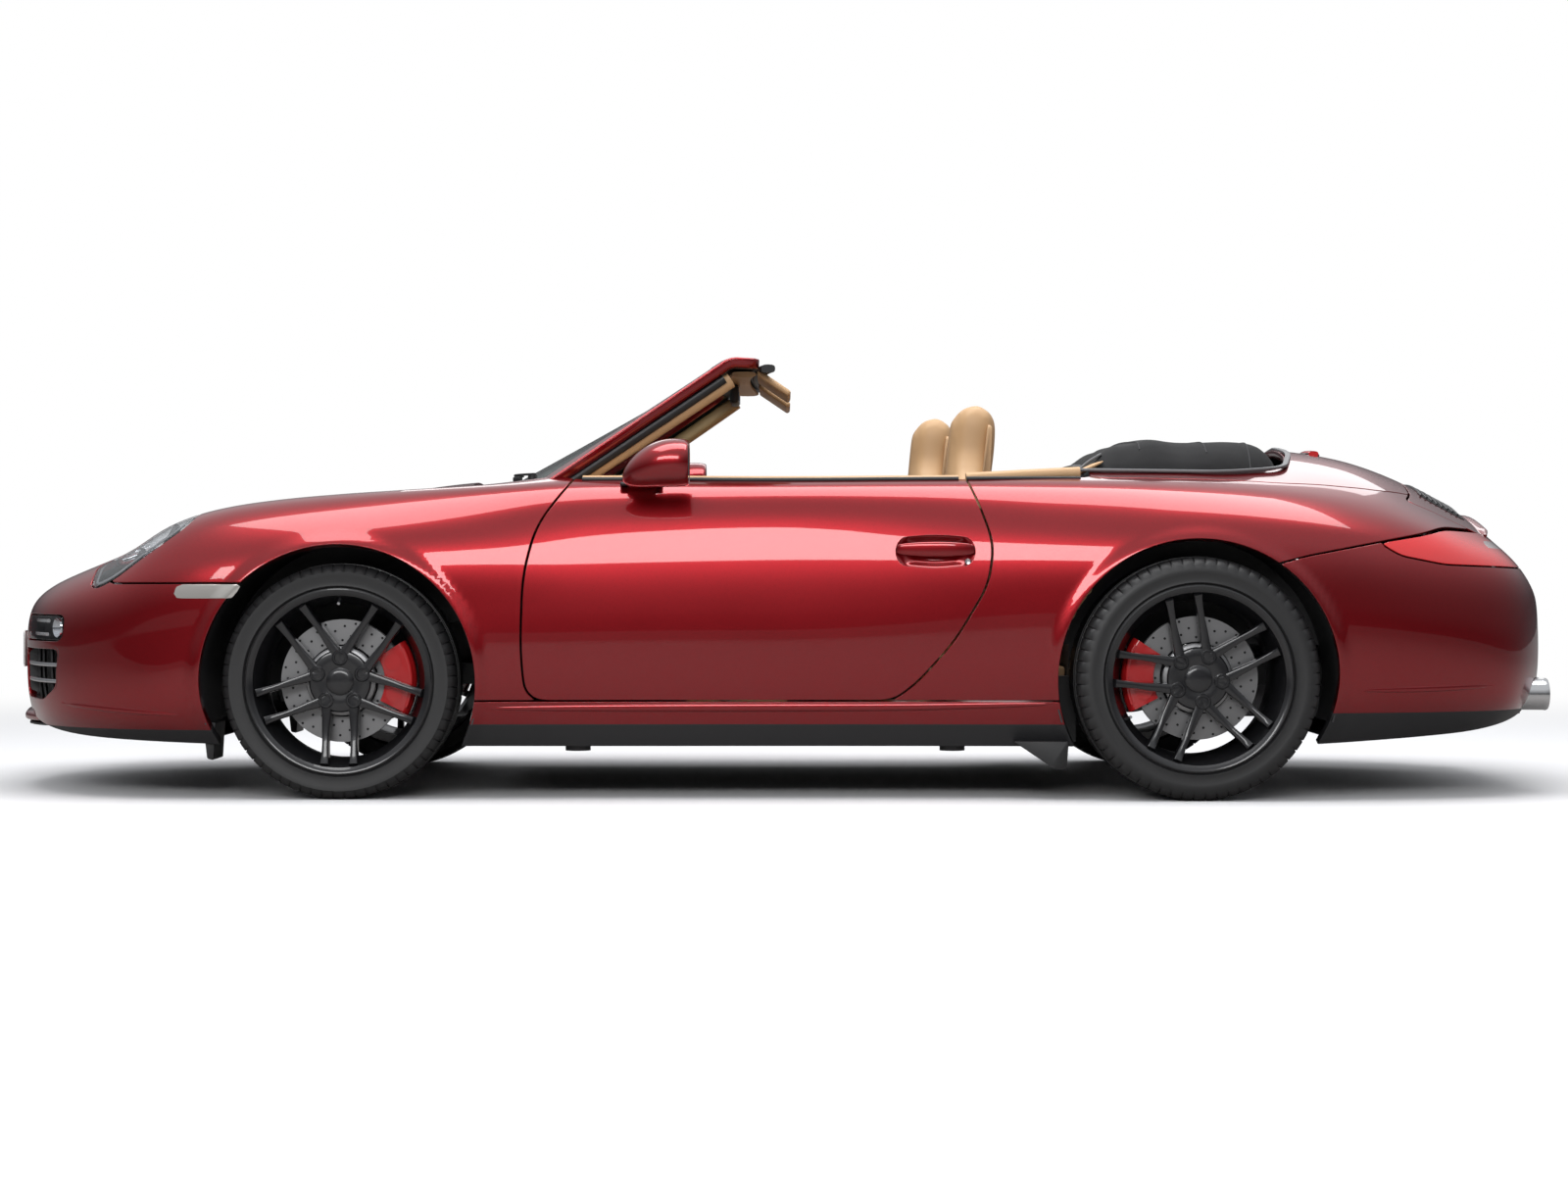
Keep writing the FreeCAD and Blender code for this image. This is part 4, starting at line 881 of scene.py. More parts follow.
# Geometry node trees for what repeats or follows a path
def repeat_tree(name, sockets, build):
    """Tree with named inputs that ends in Realize Instances and Set Material."""
    tree = bpy.data.node_groups.new(name, "GeometryNodeTree")
    ports = tree.interface
    ports.new_socket("Geometry", in_out="INPUT", socket_type="NodeSocketGeometry")
    for label, kind, value in sockets:
        ports.new_socket(label, in_out="INPUT", socket_type=kind).default_value = value
    ports.new_socket("Material", in_out="INPUT", socket_type="NodeSocketMaterial")
    ports.new_socket("Geometry", in_out="OUTPUT", socket_type="NodeSocketGeometry")
    inside = node(tree, "NodeGroupInput").outputs
    real = node(tree, "GeometryNodeRealizeInstances", {"Geometry": build(tree, inside)})
    coat = node(tree, "GeometryNodeSetMaterial", {"Geometry": real.outputs["Geometry"],
                                                  "Material": inside["Material"]})
    node(tree, "NodeGroupOutput", {"Geometry": coat.outputs["Geometry"]})
    return tree


def copies_at(tree, inside, points, **more):
    inputs = {"Points": points, "Instance": inside["Geometry"], **more}
    return node(tree, "GeometryNodeInstanceOnPoints", inputs).outputs["Instances"]


def ring_build(tree, inside):
    """Copies turned evenly about the local y axis."""
    spots = node(tree, "GeometryNodePoints", {"Count": inside["Count"]})
    step = node(tree, "ShaderNodeMath", {0: 2 * math.pi, 1: inside["Count"]}, operation="DIVIDE")
    index = node(tree, "GeometryNodeInputIndex").outputs["Index"]
    turn = node(tree, "ShaderNodeMath", {0: index, 1: step.outputs[0]}, operation="MULTIPLY")
    angle = node(tree, "ShaderNodeCombineXYZ", {"Y": turn.outputs[0]})
    return copies_at(tree, inside, spots.outputs[0], Rotation=angle.outputs["Vector"])


def row_build(tree, inside):
    """Copies in a straight row, each a step further."""
    line = node(tree, "GeometryNodeMeshLine", {"Count": inside["Count"], "Offset": inside["Step"]})
    return copies_at(tree, inside, line.outputs["Mesh"])


def cord_build(tree, inside):
    """Round cord along lines of edges."""
    path = node(tree, "GeometryNodeMeshToCurve", {"Mesh": inside["Geometry"]})
    ring = node(tree, "GeometryNodeCurvePrimitiveCircle", {"Resolution": 8, "Radius": inside["Radius"]})
    return node(tree, "GeometryNodeCurveToMesh", {
        "Curve": path.outputs["Curve"], "Profile Curve": ring.outputs["Curve"],
        "Fill Caps": True}).outputs["Mesh"]


COUNT = ("Count", "NodeSocketInt", 5)
RING = repeat_tree("ring_of_copies", [COUNT], ring_build)
ROW = repeat_tree("row_of_copies", [COUNT, ("Step", "NodeSocketVector", (0, 0, 0.01))], row_build)
CORD = repeat_tree("round_cord", [("Radius", "NodeSocketFloat", 0.002)], cord_build)


def arrays_of(obj):
    """Points in millimetres and faces of an object as its modifiers leave it."""
    shown = obj.evaluated_get(bpy.context.evaluated_depsgraph_get())
    mesh = shown.to_mesh()
    points = np.empty(len(mesh.vertices) * 3)
    mesh.vertices.foreach_get("co", points)
    faces = [list(p.vertices) for p in mesh.polygons]
    shown.to_mesh_clear()
    return points.reshape(-1, 3) / MM, faces


def grown(tree, shape, finish, edges=(), **values):
    """What a tree makes of a form in millimetres, as points and faces again."""
    mesh = bpy.data.meshes.new(tree.name)
    mesh.from_pydata((np.asarray(shape[0]) * MM).tolist(), list(edges), shape[1])
    obj = linked(tree.name, mesh)
    repeat = obj.modifiers.new(tree.name, "NODES")
    repeat.node_group = tree
    values["Material"] = finish
    for socket in tree.interface.items_tree:
        if socket.in_out == "INPUT" and socket.name in values:
            repeat[socket.identifier] = values[socket.name]
    result = arrays_of(obj)
    bpy.data.objects.remove(obj)
    return result


def cords_along(paths, radius, finish):
    """Round cords of one radius along several paths."""
    edges, count = [], 0
    for path in paths:
        edges += [(count + i, count + i + 1) for i in range(len(path) - 1)]
        count += len(path)
    return grown(CORD, (np.vstack(paths), []), finish, edges, Radius=radius * MM)


def polar(radius, angle, out=0.0):
    """Place in a wheel: distance from the axle, angle, distance out along it."""
    return np.array([radius * math.cos(angle), out, radius * math.sin(angle)])


def tyre_shape(wheel):
    """Tyre with two grooves round it and blocks cut into both shoulders of the tread."""
    rim_half, radius, wide = wheel.rim_half, wheel.radius, wheel.wide
    grooves = (0.2 * wide, 0.5 * wide)
    half = [(rim_half - 9, 242), (rim_half - 9, 257), (rim_half + 0.5, 263), (wide - 4, 274),
            (wide - 0.6, 288), (wide, 300), (wide - 3, radius - 24), (wide - 9, radius - 13),
            (wide - 17, radius - 6), (wide - 30, radius - 2)]
    for middle in reversed(grooves):
        half += [(middle + 5, radius - 1), (middle + 4, radius - GROOVE_DEPTH),
                 (middle - 4, radius - GROOVE_DEPTH), (middle - 5, radius)]
    profile = half + [(-out, r) for out, r in reversed(half)]
    shares = np.array([0, 0.42, 0.5, 0.58])
    marks = np.array([abs(out) > grooves[1] + 4.5 and r > radius - 14 for out, r in profile])
    number = np.arange(BLOCKS * 4)
    cut = (number % 4 == 2)[:, None] & marks[None, :]
    points, faces = turned(profile, BLOCKS * 4, np.where(cut, CUT_DEPTH, 0.0))
    place = (number // 4 + shares[number % 4]) / BLOCKS * 2 * math.pi
    radius_now = np.hypot(points[:, 0], points[:, 2])
    turn = np.repeat(place, len(profile))
    return np.stack([radius_now * np.cos(turn), points[:, 1], radius_now * np.sin(turn)], axis=1), faces


def spoke_shape(wheel, angle, lean):
    """One arm of a twin spoke, from its bolt boss out to the rim."""
    face, rim_half = wheel.face, wheel.rim_half
    path, scale = [], []
    for radius, turn, out, wide, deep in (
            (40, 0, face + 5, 1.4, 0.9), (66, 3.5, face + 6, 1.3, 1.0), (101, 14.2, face + 7, 1.0, 1.0),
            (145, 20.3, face + 10, 0.82, 1.0), (189, 24, face + 16, 0.78, 1.05),
            (220, 25.6, rim_half - 30, 0.84, 1.15), (236, 26.2, rim_half - 22, 1.05, 1.2)):
        path.append(polar(radius, math.radians(angle + lean * turn), out))
        scale.append((wide, deep))
    path, scale = curve(path, 16), curve(np.array(scale), 16)
    profile = [(-12, -14), (-11, 11), (-9.8, 14), (-7.2, 15.3), (7.2, 15.3), (9.8, 14), (11, 11), (12, -14)]
    return swept(path, profile, (0, 1, 0), scale=scale)


def rim_shapes(wheel):
    face, half, phase = wheel.face, wheel.rim_half, wheel.phase
    barrel = turned([(-half, 228), (-half, 254), (-half + 6, 255), (-half + 9, 250), (-half + 9, 241),
                     (-half + 40, 238), (-half + 62, 224), (half - 92, 222), (half - 60, 235),
                     (half - 9, 241), (half - 9, 250), (half - 6, 254.5), (half - 2, 255), (half, 252),
                     (half - 1, 246), (half - 5, 241), (half - 9, 236), (half - 30, 231),
                     (half - 70, 214), (-half + 70, 214)], 96)
    top = face + 18
    hub = turned([(face, 25), (face, 84), (top - 4, 86), (top + 1, 82), (top + 2.5, 76), (top + 2.5, 48),
                  (top + 1, 42), (top + 1, 25)], 60)
    twin = joined(*[spoke_shape(wheel, phase, lean) for lean in (-1, 1)])
    at_bolt = polar(BOLT_RADIUS, math.radians(phase))
    boss = moved(turned([(face + 2, 12), (face + 2, 23), (top + 3, 22), (top + 6, 19),
                         (top + 6, 15), (top + 3, 13.5), (face + 8, 12)], 24), at_bolt)
    bolt = moved(turned([(face, 0.1), (face, 9.5), (top - 2, 9.5), (top + 1, 7.5),
                         (top + 1, 4.5), (top - 4, 4.5), (top - 4, 0.1)], 12), at_bolt)
    arms = grown(RING, joined(twin, boss), RIM, Count=5)
    bolts = grown(RING, bolt, GREY, Count=5)
    cap = turned([(top - 2, 0.1), (top - 2, 37), (top + 5, 37), (top + 8, 34), (top + 9.5, 22),
                  (top + 10, 0.1)], 48)
    a = math.radians(phase if wheel.x < 0 else phase + 144)
    valve = joined(rod(polar(228, a, half - 34), polar(216, a, half - 12), 3.4, 10),
                   rod(polar(218.2, a, half - 16), polar(213.8, a, half - 8), 4.4, 10))
    return joined(barrel, hub, arms), bolts, cap, valve


def disc_shapes(wheel):
    face = wheel.face
    low = face - DISC_SET_BACK
    plates = [turned([(a, 100), (a, 169.5), (b, 169.5), (b, 100)], 72) for a, b in
              ((low - 30, low - 20), (low - 10, low))]
    vanes = grown(RING, block((104, low - 21, -2), (166, low - 9, 2), 0), IRON, Count=36)
    hat = turned([(low - 8, 92), (low - 1, 96), (face - 3, 95), (face, 90), (face, 25), (low - 8, 25)], 48)
    # The drilled holes are painted shade: dark short rods set flush in the disc face
    holes = []
    for ring, radius in enumerate((112, 125, 138, 151, 161)):
        a = 2 * math.pi * (ring % 2 + ring * 0.28) / 24
        holes.append(rod(polar(radius, a, low - 6), polar(radius, a, low + 0.25), 3.6, 10))
    return joined(*plates, hat, vanes), grown(RING, joined(*holes), DARK, Count=12)


def caliper_shapes(wheel, front):
    """Fixed caliper astride the disc; its middle lies at angle 0 on a front wheel."""
    high = wheel.face - DISC_SET_BACK + 18
    low = high - DISC_THICK - 36
    start, end = math.radians(-27), math.radians(33)
    ring = softened([(low, 118), (low, 200), (low + 20, 205), (high - 18, 205), (high, 192), (high, 118),
                     (high - 12, 118), (high - 12, 176), (low + 12, 176), (low + 12, 118)], 6, steps=2)
    shell = turned(ring, 26, start=start, end=end)
    pistons = [rod(polar(150, a, high - 8), polar(150, a, high + 2.5), 23, 24)
               for a in (math.radians(-14), math.radians(20))]
    rib = turned(softened([(high - 4, 190), (high - 4, 198), (high + 2, 194), (high + 2, 186)], 2, steps=2),
                 20, start=start + 0.08, end=end - 0.08)
    shape = joined(shell, rib, *pistons)
    return shape if front else (shape[0] * [-1, 1, 1], [f[::-1] for f in shape[1]])


def wheels():
    for name, wheel in WHEELS.items():
        front, word = name.startswith("front"), name.split("_")[1]
        body = "wheel_" + name
        solid("tyre_%s_skin" % name, *at_wheel(tyre_shape(wheel), wheel), TYRE, body, "tyre_" + name,
              "tyre_rubber", sharp=50)
        rim, bolts, cap, valve = rim_shapes(wheel)
        solid("rim_%s_skin" % name, *at_wheel(rim, wheel), RIM, body, "rim_" + name, "rim_black", sharp=35)
        for piece, shape, finish in (("bolts_", bolts, GREY), ("cap_", cap, RIM), ("valve_", valve, SILVER)):
            solid(piece + name, *at_wheel(shape, wheel), finish, body)
        disc, holes = disc_shapes(wheel)
        solid("disc_%s_skin" % name, *at_wheel(disc, wheel), IRON, body, "brake_disc_" + name, "disc_iron")
        # Painted shade of the drilled holes
        solid("disc_holes_" + name, *at_wheel(holes, wheel), DARK, body)
        caliper = at_wheel(caliper_shapes(wheel, front), wheel)
        if front:
            solid("caliper_%s_skin" % word, *caliper, CALIPER, "knuckle_" + word, "caliper_" + word,
                  "caliper_red")
        else:
            solid("rear_caliper_skin_" + word, *caliper, CALIPER, nodes="rear_calipers",
                  slot="caliper_red")


wheels()


# Windscreen: foot, top, half widths and bows as in the construction
SCREEN_FOOT, SCREEN_TOP = (-812, 884), (-190, 1222)
SCREEN_HALF, SCREEN_BOW = (690, 590), (170, 34)
SCREEN_TURN = math.atan2(SCREEN_TOP[1] - SCREEN_FOOT[1], SCREEN_TOP[0] - SCREEN_FOOT[0])
SCREEN_RISE = math.hypot(SCREEN_TOP[0] - SCREEN_FOOT[0], SCREEN_TOP[1] - SCREEN_FOOT[1])


def screen_point(y, length, depth=0.0):
    """Point on the screen: length up the slope from the foot, depth inwards."""
    share = min(length / SCREEN_RISE, 1)
    x = SCREEN_FOOT[0] + min(length, SCREEN_RISE) * math.cos(SCREEN_TURN)
    z = SCREEN_FOOT[1] + min(length, SCREEN_RISE) * math.sin(SCREEN_TURN)
    over = max(0, length - SCREEN_RISE)
    bend = 75
    turn = min(over / bend, SCREEN_TURN + 0.05)
    x += bend * (math.sin(SCREEN_TURN) - math.sin(SCREEN_TURN - turn))
    z += bend * (math.cos(SCREEN_TURN - turn) - math.cos(SCREEN_TURN))
    rest = max(0, over - turn * bend)
    x, z = x + rest * math.cos(SCREEN_TURN - turn), z + rest * math.sin(SCREEN_TURN - turn)
    bow = SCREEN_BOW[0] + share * (SCREEN_BOW[1] - SCREEN_BOW[0])
    half = SCREEN_HALF[0] + share * (SCREEN_HALF[1] - SCREEN_HALF[0])
    radius = (half * half + bow * bow) / (2 * bow)
    x += radius - math.sqrt(radius * radius - min(abs(y), half) ** 2)
    crown = np.clip((length - 380) / 330, 0, 1)
    z += 11 * (1 - (y / 590) ** 2) * crown * crown
    slope = SCREEN_TURN - turn
    return np.array([x + depth * math.sin(slope), y, z - depth * math.cos(slope)])


def screen_sheet(depth=0.0):
    lengths = np.concatenate([np.linspace(-140, SCREEN_RISE, 60), SCREEN_RISE + np.arange(6, 124, 6)])
    shares = np.linspace(-1, 1, 81)
    points, tags = [], []
    for length in lengths:
        share = min(length / SCREEN_RISE, 1)
        half = SCREEN_HALF[0] + share * (SCREEN_HALF[1] - SCREEN_HALF[0])
        points.append([screen_point(u * half, length, depth) for u in shares])
        tags.append([(abs(u * half), length) for u in shares])
    return grid_sheet(np.array(points), np.array(tags))


def by_tag(outline, sign=1, margin=0.0):
    return lambda sheet: sign * depth_in(sheet.tags, outline) - margin


screen_opening = softened([(657, -130), (538, 676), (-400, 684), (-400, -150), (660, -150)], 55)
screen_outside = softened([(708, -130), (588, 712), (578, 812), (-400, 824), (-400, -145), (710, -145)], 50)


def along_pillar(side, inset, depth, low, high, profile):
    """Profile carried up a screen pillar, an inset inside its outer edge."""
    taper = (SCREEN_HALF[0] - SCREEN_HALF[1]) / SCREEN_RISE
    path = [screen_point(side * (SCREEN_HALF[0] - inset - taper * length), length, depth)
            for length in np.linspace(low, SCREEN_RISE - high, 24)]
    return swept(path, profile, unit(np.array((-0.45, side * 0.5, 0.75))))


def windscreen():
    sheet = screen_sheet()
    band = cut_all(sheet, by_tag(screen_outside, 1, 4), by_tag(screen_opening, -1, 4),
                   lambda s: s.tags[:, 1] + 110)
    panel("windscreen_frame_skin", band, 30, PAINT, TRIM, nodes="windscreen_frame",
          roll=6, steps=4)
    pane = cut_all(screen_sheet(9), by_tag(screen_opening, 1, -4), lambda s: s.tags[:, 1] + 70)
    panel("windscreen_pane", pane, 5, GLASS, GLASS, nodes="windscreen_glass", roll=1)
    edge = cut_all(screen_sheet(8), by_tag(screen_opening, 1, -2), by_tag(screen_opening, -1, -24),
                   lambda s: s.tags[:, 1] + 70)
    panel("windscreen_edge_band", edge, 1, TRIM, TRIM, roll=0.3)
    seals, visors = [], []
    for side, _ in SIDES:
        seals.append(along_pillar(side, 16, 44, -60, 30, oval(26, 24, 3)))
        shape = block((-60, side * 300 - 190, 1186), (52, side * 300 + 190, 1203), 8, 3)
        visors.append(spun(shape, 34, (0, 1, 0), (-60, 0, 1200)))
    solid("pillar_seals", *joined(*seals), RUBBER, nodes="windscreen_frame")
    path = [screen_point(y, SCREEN_RISE + 118, 22) + (12, 0, -6) for y in np.linspace(-560, 560, 30)]
    solid("header_seal", *swept(path, oval(40, 24, 3)), RUBBER)
    solid("sun_visors", *joined(*visors), LEATHER)
    glass = block((-150, -112, 1128), (-122, 112, 1184), 11, 3)
    stem = rod((-150, 0, 1172), (-182, 0, 1206), 7)
    solid("inner_mirror", *joined(glass, stem), TRIM)
    solid("inner_mirror_face", *block((-122.5, -104, 1135), (-121, 104, 1177), 0), MIRROR)


def in_front_of_screen(sheet):
    bow, half = SCREEN_BOW[0], SCREEN_HALF[0]
    radius = (half * half + bow * bow) / (2 * bow)
    y = np.minimum(np.abs(sheet.points[:, 1]), half)
    x = (SCREEN_FOOT[0] + (sheet.points[:, 2] - SCREEN_FOOT[1]) / math.tan(SCREEN_TURN)
         + radius - np.sqrt(radius * radius - y * y))
    return x - sheet.points[:, 0] + 30


def cowl():
    plate = cut_all(whole, limit(0, -960, -560), plan_view(cowl_line, 700, 1, 2), in_front_of_screen)
    plate.points = plate.points - plate.normals * 26
    panel("cowl_plate", plate, 12, TRIM, nodes="cowl_panel")
    slats, wipers = [], []
    for k in range(11):
        y = -500 + 100 * k
        x = -868 + 80 * (y / 560) ** 2
        slats.append(block((x - 8, y - 42, 850), (x + 26, y + 42, 873), 4))
    for pivot, tip in ((-560, 40), (60, 560)):
        y_line = np.linspace(pivot, tip, 14)
        arm = [screen_point(y, 14 + 26 * (y - pivot) / (tip - pivot), -12) for y in y_line]
        blade = [screen_point(y, 4 + 26 * (y - pivot) / (tip - pivot), -5) for y in y_line[3:]]
        wipers += [swept(arm, oval(14, 7, 3)), swept(blade, oval(9, 13, 3))]
        foot = screen_point(pivot, 6, -6)
        wipers.append(rod(foot - (0, 0, 30), foot + (0, 0, 6), 13))
    solid("cowl_slats", *joined(*slats), TRIM)
    solid("wipers", *joined(*wipers), RUBBER)


windscreen()
cowl()


# Forms for lamps and trims, and smooth surfaces through the body's points
def extruded(outline, low, high, bevel=6.0, shift=None):
    """Side outline in x and z carried across the car, with rounded ends."""
    outline = np.array(outline, float)
    middle = outline.mean(axis=0)
    reach = np.abs(outline - middle).max()
    turns = np.linspace(0, math.pi / 2, 4)
    rows = [(low + bevel * (1 - math.cos(t)), bevel * (1 - math.sin(t))) for t in turns]
    inner = np.linspace(low + bevel, high - bevel, 25)[1:-1]
    rows += [(y, 0) for y in inner] + [(high + low - y, b) for y, b in rows[::-1]]
    points = []
    for y, inset in rows:
        ring = middle + (outline - middle) * (1 - inset / reach)
        if shift is not None:
            ring = np.stack([np.maximum(ring[:, 0], shift(abs(y))), ring[:, 1]], axis=1)
        points.append(np.insert(ring, 1, y, axis=1))
    return np.vstack(points), ring_faces(len(rows), len(outline))


def raised(sheet, out):
    """The same sheet moved along its normals."""
    return Sheet(sheet.points + sheet.normals * out, sheet.normals, sheet.tags, sheet.faces)


def aimed(shape, direction, place):
    """A form built about its Y axis, turned towards a direction and put in place."""
    turn = np.array(Vector((0, 1, 0)).rotation_difference(Vector(direction)).to_matrix())
    return np.asarray(shape[0]) @ turn.T + place, shape[1]


def bowl(radius, deep, lip=5.0):
    """Open reflector cup: outer radius, depth, wall at the rim."""
    inner = [(-deep * (1 - (r / radius) ** 2), max(r, 0.5)) for r in np.linspace(0, radius, 9)]
    outer = [(y - 4, r + lip * (r / radius)) for y, r in inner[::-1]]
    return turned(inner + outer, 40)


def dome(radius, high):
    profile = [(high * math.cos(t), max(radius * math.sin(t), 0.5)) for t in np.linspace(0, math.pi / 2, 8)]
    return turned(profile + [(-6, radius), (-6, 0.5)], 36)


def smooth_fit(first, second, target, first_middle, second_middle, order):
    """Target as a smooth polynomial of two coordinates of the body's points in a field."""
    def terms(a, b):
        u, v = (a - first_middle) / 200, (b - second_middle) / 100
        return np.stack([u ** i * v ** j for i in range(order) for j in range(5 - i)], axis=-1)
    best = np.linalg.lstsq(terms(first, second), target, rcond=None)[0]
    return lambda a, b: terms(np.asarray(a, float), np.asarray(b, float)) @ best


def nose_fit(low, high, y_low, y_high):
    """Smooth surface x(y, z) of the nose between these heights and half widths."""
    p = whole.points
    near = ((p[:, 2] > low - 30) & (p[:, 2] < high + 30) & (np.abs(p[:, 1]) < y_high + 40)
            & (np.abs(p[:, 1]) > y_low - 40) & (p[:, 0] < -END_X))
    return smooth_fit(np.abs(p[near, 1]), p[near, 2], p[near, 0],
                      (y_low + y_high) / 2, (low + high) / 2, 5)


def side_fit(x_low, x_high, z_low, z_high):
    """Smooth half width y(x, z) of the body side round this field."""
    p = whole.points
    near = ((p[:, 0] > x_low - 60) & (p[:, 0] < x_high + 60) & (p[:, 2] > z_low - 50)
            & (p[:, 2] < z_high + 50) & (p[:, 1] > 500))
    return smooth_fit(p[near, 0], p[near, 2], p[near, 1],
                      (x_low + x_high) / 2, (z_low + z_high) / 2, 4)


# Lamps
side_lamp_line = softened([(-1642, 588), (-1464, 588), (-1492, 553), (-1644, 553), (-1654, 562)], 7)
reflection_band_line = softened([(1985, 692), (1985, 712), (2150, 706), (2150, 684)], 5)


def head_lamps():
    patch = cut_all(whole, limit(0, high=-1550), within(head_lamp_depth))
    panel("headlamp_lenses", patch, 4, LENS, LENS, nodes="headlamps", roll=1.2)
    inner = cut_all(whole, limit(0, high=-1550), within(head_lamp_depth, 5))
    rim = cut_all(inner, lambda s: 15 - head_lamp_depth(s))
    panel("headlamp_borders", raised(rim, -5), 2, GREY, GREY, roll=0.5)
    panel("headlamp_bowls", raised(inner, -62), 6, BOWL, BOWL, roll=2)
    shine, cups, glass = [], [], []
    for x, y, radius in ((-1735, 628, 52), (-1822, 612, 30)):
        place = top_point(x, y, -30)
        way = unit(np.array((-0.84, 0.16, 0.5)))
        cups.append(aimed(bowl(radius, 34), way, place))
        ring = [(4, radius - 2), (8, radius + 4), (0, radius + 8), (-12, radius + 4)]
        shine.append(aimed(turned(ring, 44), way, place))
        glass.append(aimed(dome(radius * 0.52, radius * 0.34), way, place - way * 26))
    solid("headlamp_reflectors", *both(joined(*cups)), CHROME)
    solid("headlamp_rings", *both(joined(*shine)), TRIM)
    solid("headlamp_projectors", *both(joined(*glass)), LENS)
    strip = [top_point(x, y, -12) for x, y in
             ((-1862, 590), (-1836, 556), (-1790, 540), (-1735, 545), (-1690, 566))]
    solid("headlamp_bars", *both(swept(curve(strip, 26), oval(8, 10, 3))), CHROME)


def front_lights():
    lens = cut_all(whole, limit(0, high=-1940), within(front_light_depth))
    panel("front_light_lenses", lens, 4, LENS, LENS, nodes="headlamps", roll=1)
    back = cut_all(whole, limit(0, high=-1940), lambda s: front_light_depth(s) + 2)
    panel("front_light_backs", raised(back, -46), 4, DARK, DARK, roll=1)
    fit = nose_fit(430, 505, 400, 700)
    bars, cups = [], []
    for z in (448, 486):
        y = np.linspace(436, 590, 16)
        bars.append(swept(np.stack([fit(y, z) + 24, y, 0 * y + z], axis=1), oval(9, 10, 3)))
    place = np.array([float(fit(640, 467)) + 26, 637, 467])
    cups.append(aimed(bowl(27, 18, 3), unit(np.array((-0.8, 0.6, 0))), place))
    solid("front_light_bars", *both(joined(*bars)), WHITE)
    solid("front_light_cups", *both(joined(*cups)), CHROME)
    patch = cut_all(whole, side_view(side_lamp_line, 1, 0))
    panel("side_marker_lamps", raised(patch, 3), 4.5, SIDE_LENS, SIDE_LENS, roll=1.6)


def tail_lamps():
    lens = cut_all(whole, limit(0, low=1550), within(tail_lamp_depth))
    panel("tail_lamp_lenses", trimmed(lens, side_view(reflection_band_line, -1, 0.4)), 5, RED_LENS, RED_LENS,
          nodes="tail_lamps", roll=1.4)
    # The pale band is a painted reflection, set into the red lens
    panel("tail_lamp_reflection_bands", trimmed(lens, side_view(reflection_band_line)), 5, LAMP_REFLECTION, LAMP_REFLECTION,
          nodes="tail_lamps", roll=0.6)
    crown = top_point(1590, 0, 2)
    y = np.linspace(-92, 92, 24)
    path = np.stack([crown[0] + 5 * (y / 92) ** 2, y, crown[2] + 3 - 4 * (y / 92) ** 2], axis=1)
    solid("third_brake_lamp", *swept(path, oval(30, 17, 2.6)), RED_LENS)
    solid("third_brake_lamp_base", *swept(path - (6, 0, 5), oval(48, 15, 3)), TRIM)


head_lamps()
front_lights()
tail_lamps()


# Openings in the nose, closed undersides and the tail
# length, half width and height of the open lower edge of the skin, as in the sections
NOSE_EDGE = [(0, -2213.5, 330), (150, -2213.5, 330), (330, -2180, 240), (520, -2090, 190), (650, -1960, 168)]
TAIL_EDGE = [(0, 2213.5, 370), (150, 2213.5, 370), (300, 2190, 280), (440, 2140, 235), (580, 2050, 200),
             (680, 1930, 180)]


def edge_point(edge, y):
    table = np.array(edge, float)
    return np.array([np.interp(abs(y), table[:, 0], table[:, k]) for k in (1, 2)])


def closing_sheet(edge, y_reach, inset, low_z, steps=7):
    """A curved sheet from the open edge of the skin, back and down to a lower line."""
    front = 1 if edge[0][1] < 0 else -1
    rows = []
    for y in np.linspace(-y_reach, y_reach, 61):
        x, z = edge_point(edge, y)
        drop = max(z + 12 - low_z, 4)
        rows.append([(x + front * (8 + inset * math.sin(math.pi / 2 * k / steps)),
                      y, z + 12 - drop * k / steps) for k in range(steps + 1)])
    points = np.array(rows)
    return grid_sheet(points[::-1] if front < 0 else points)


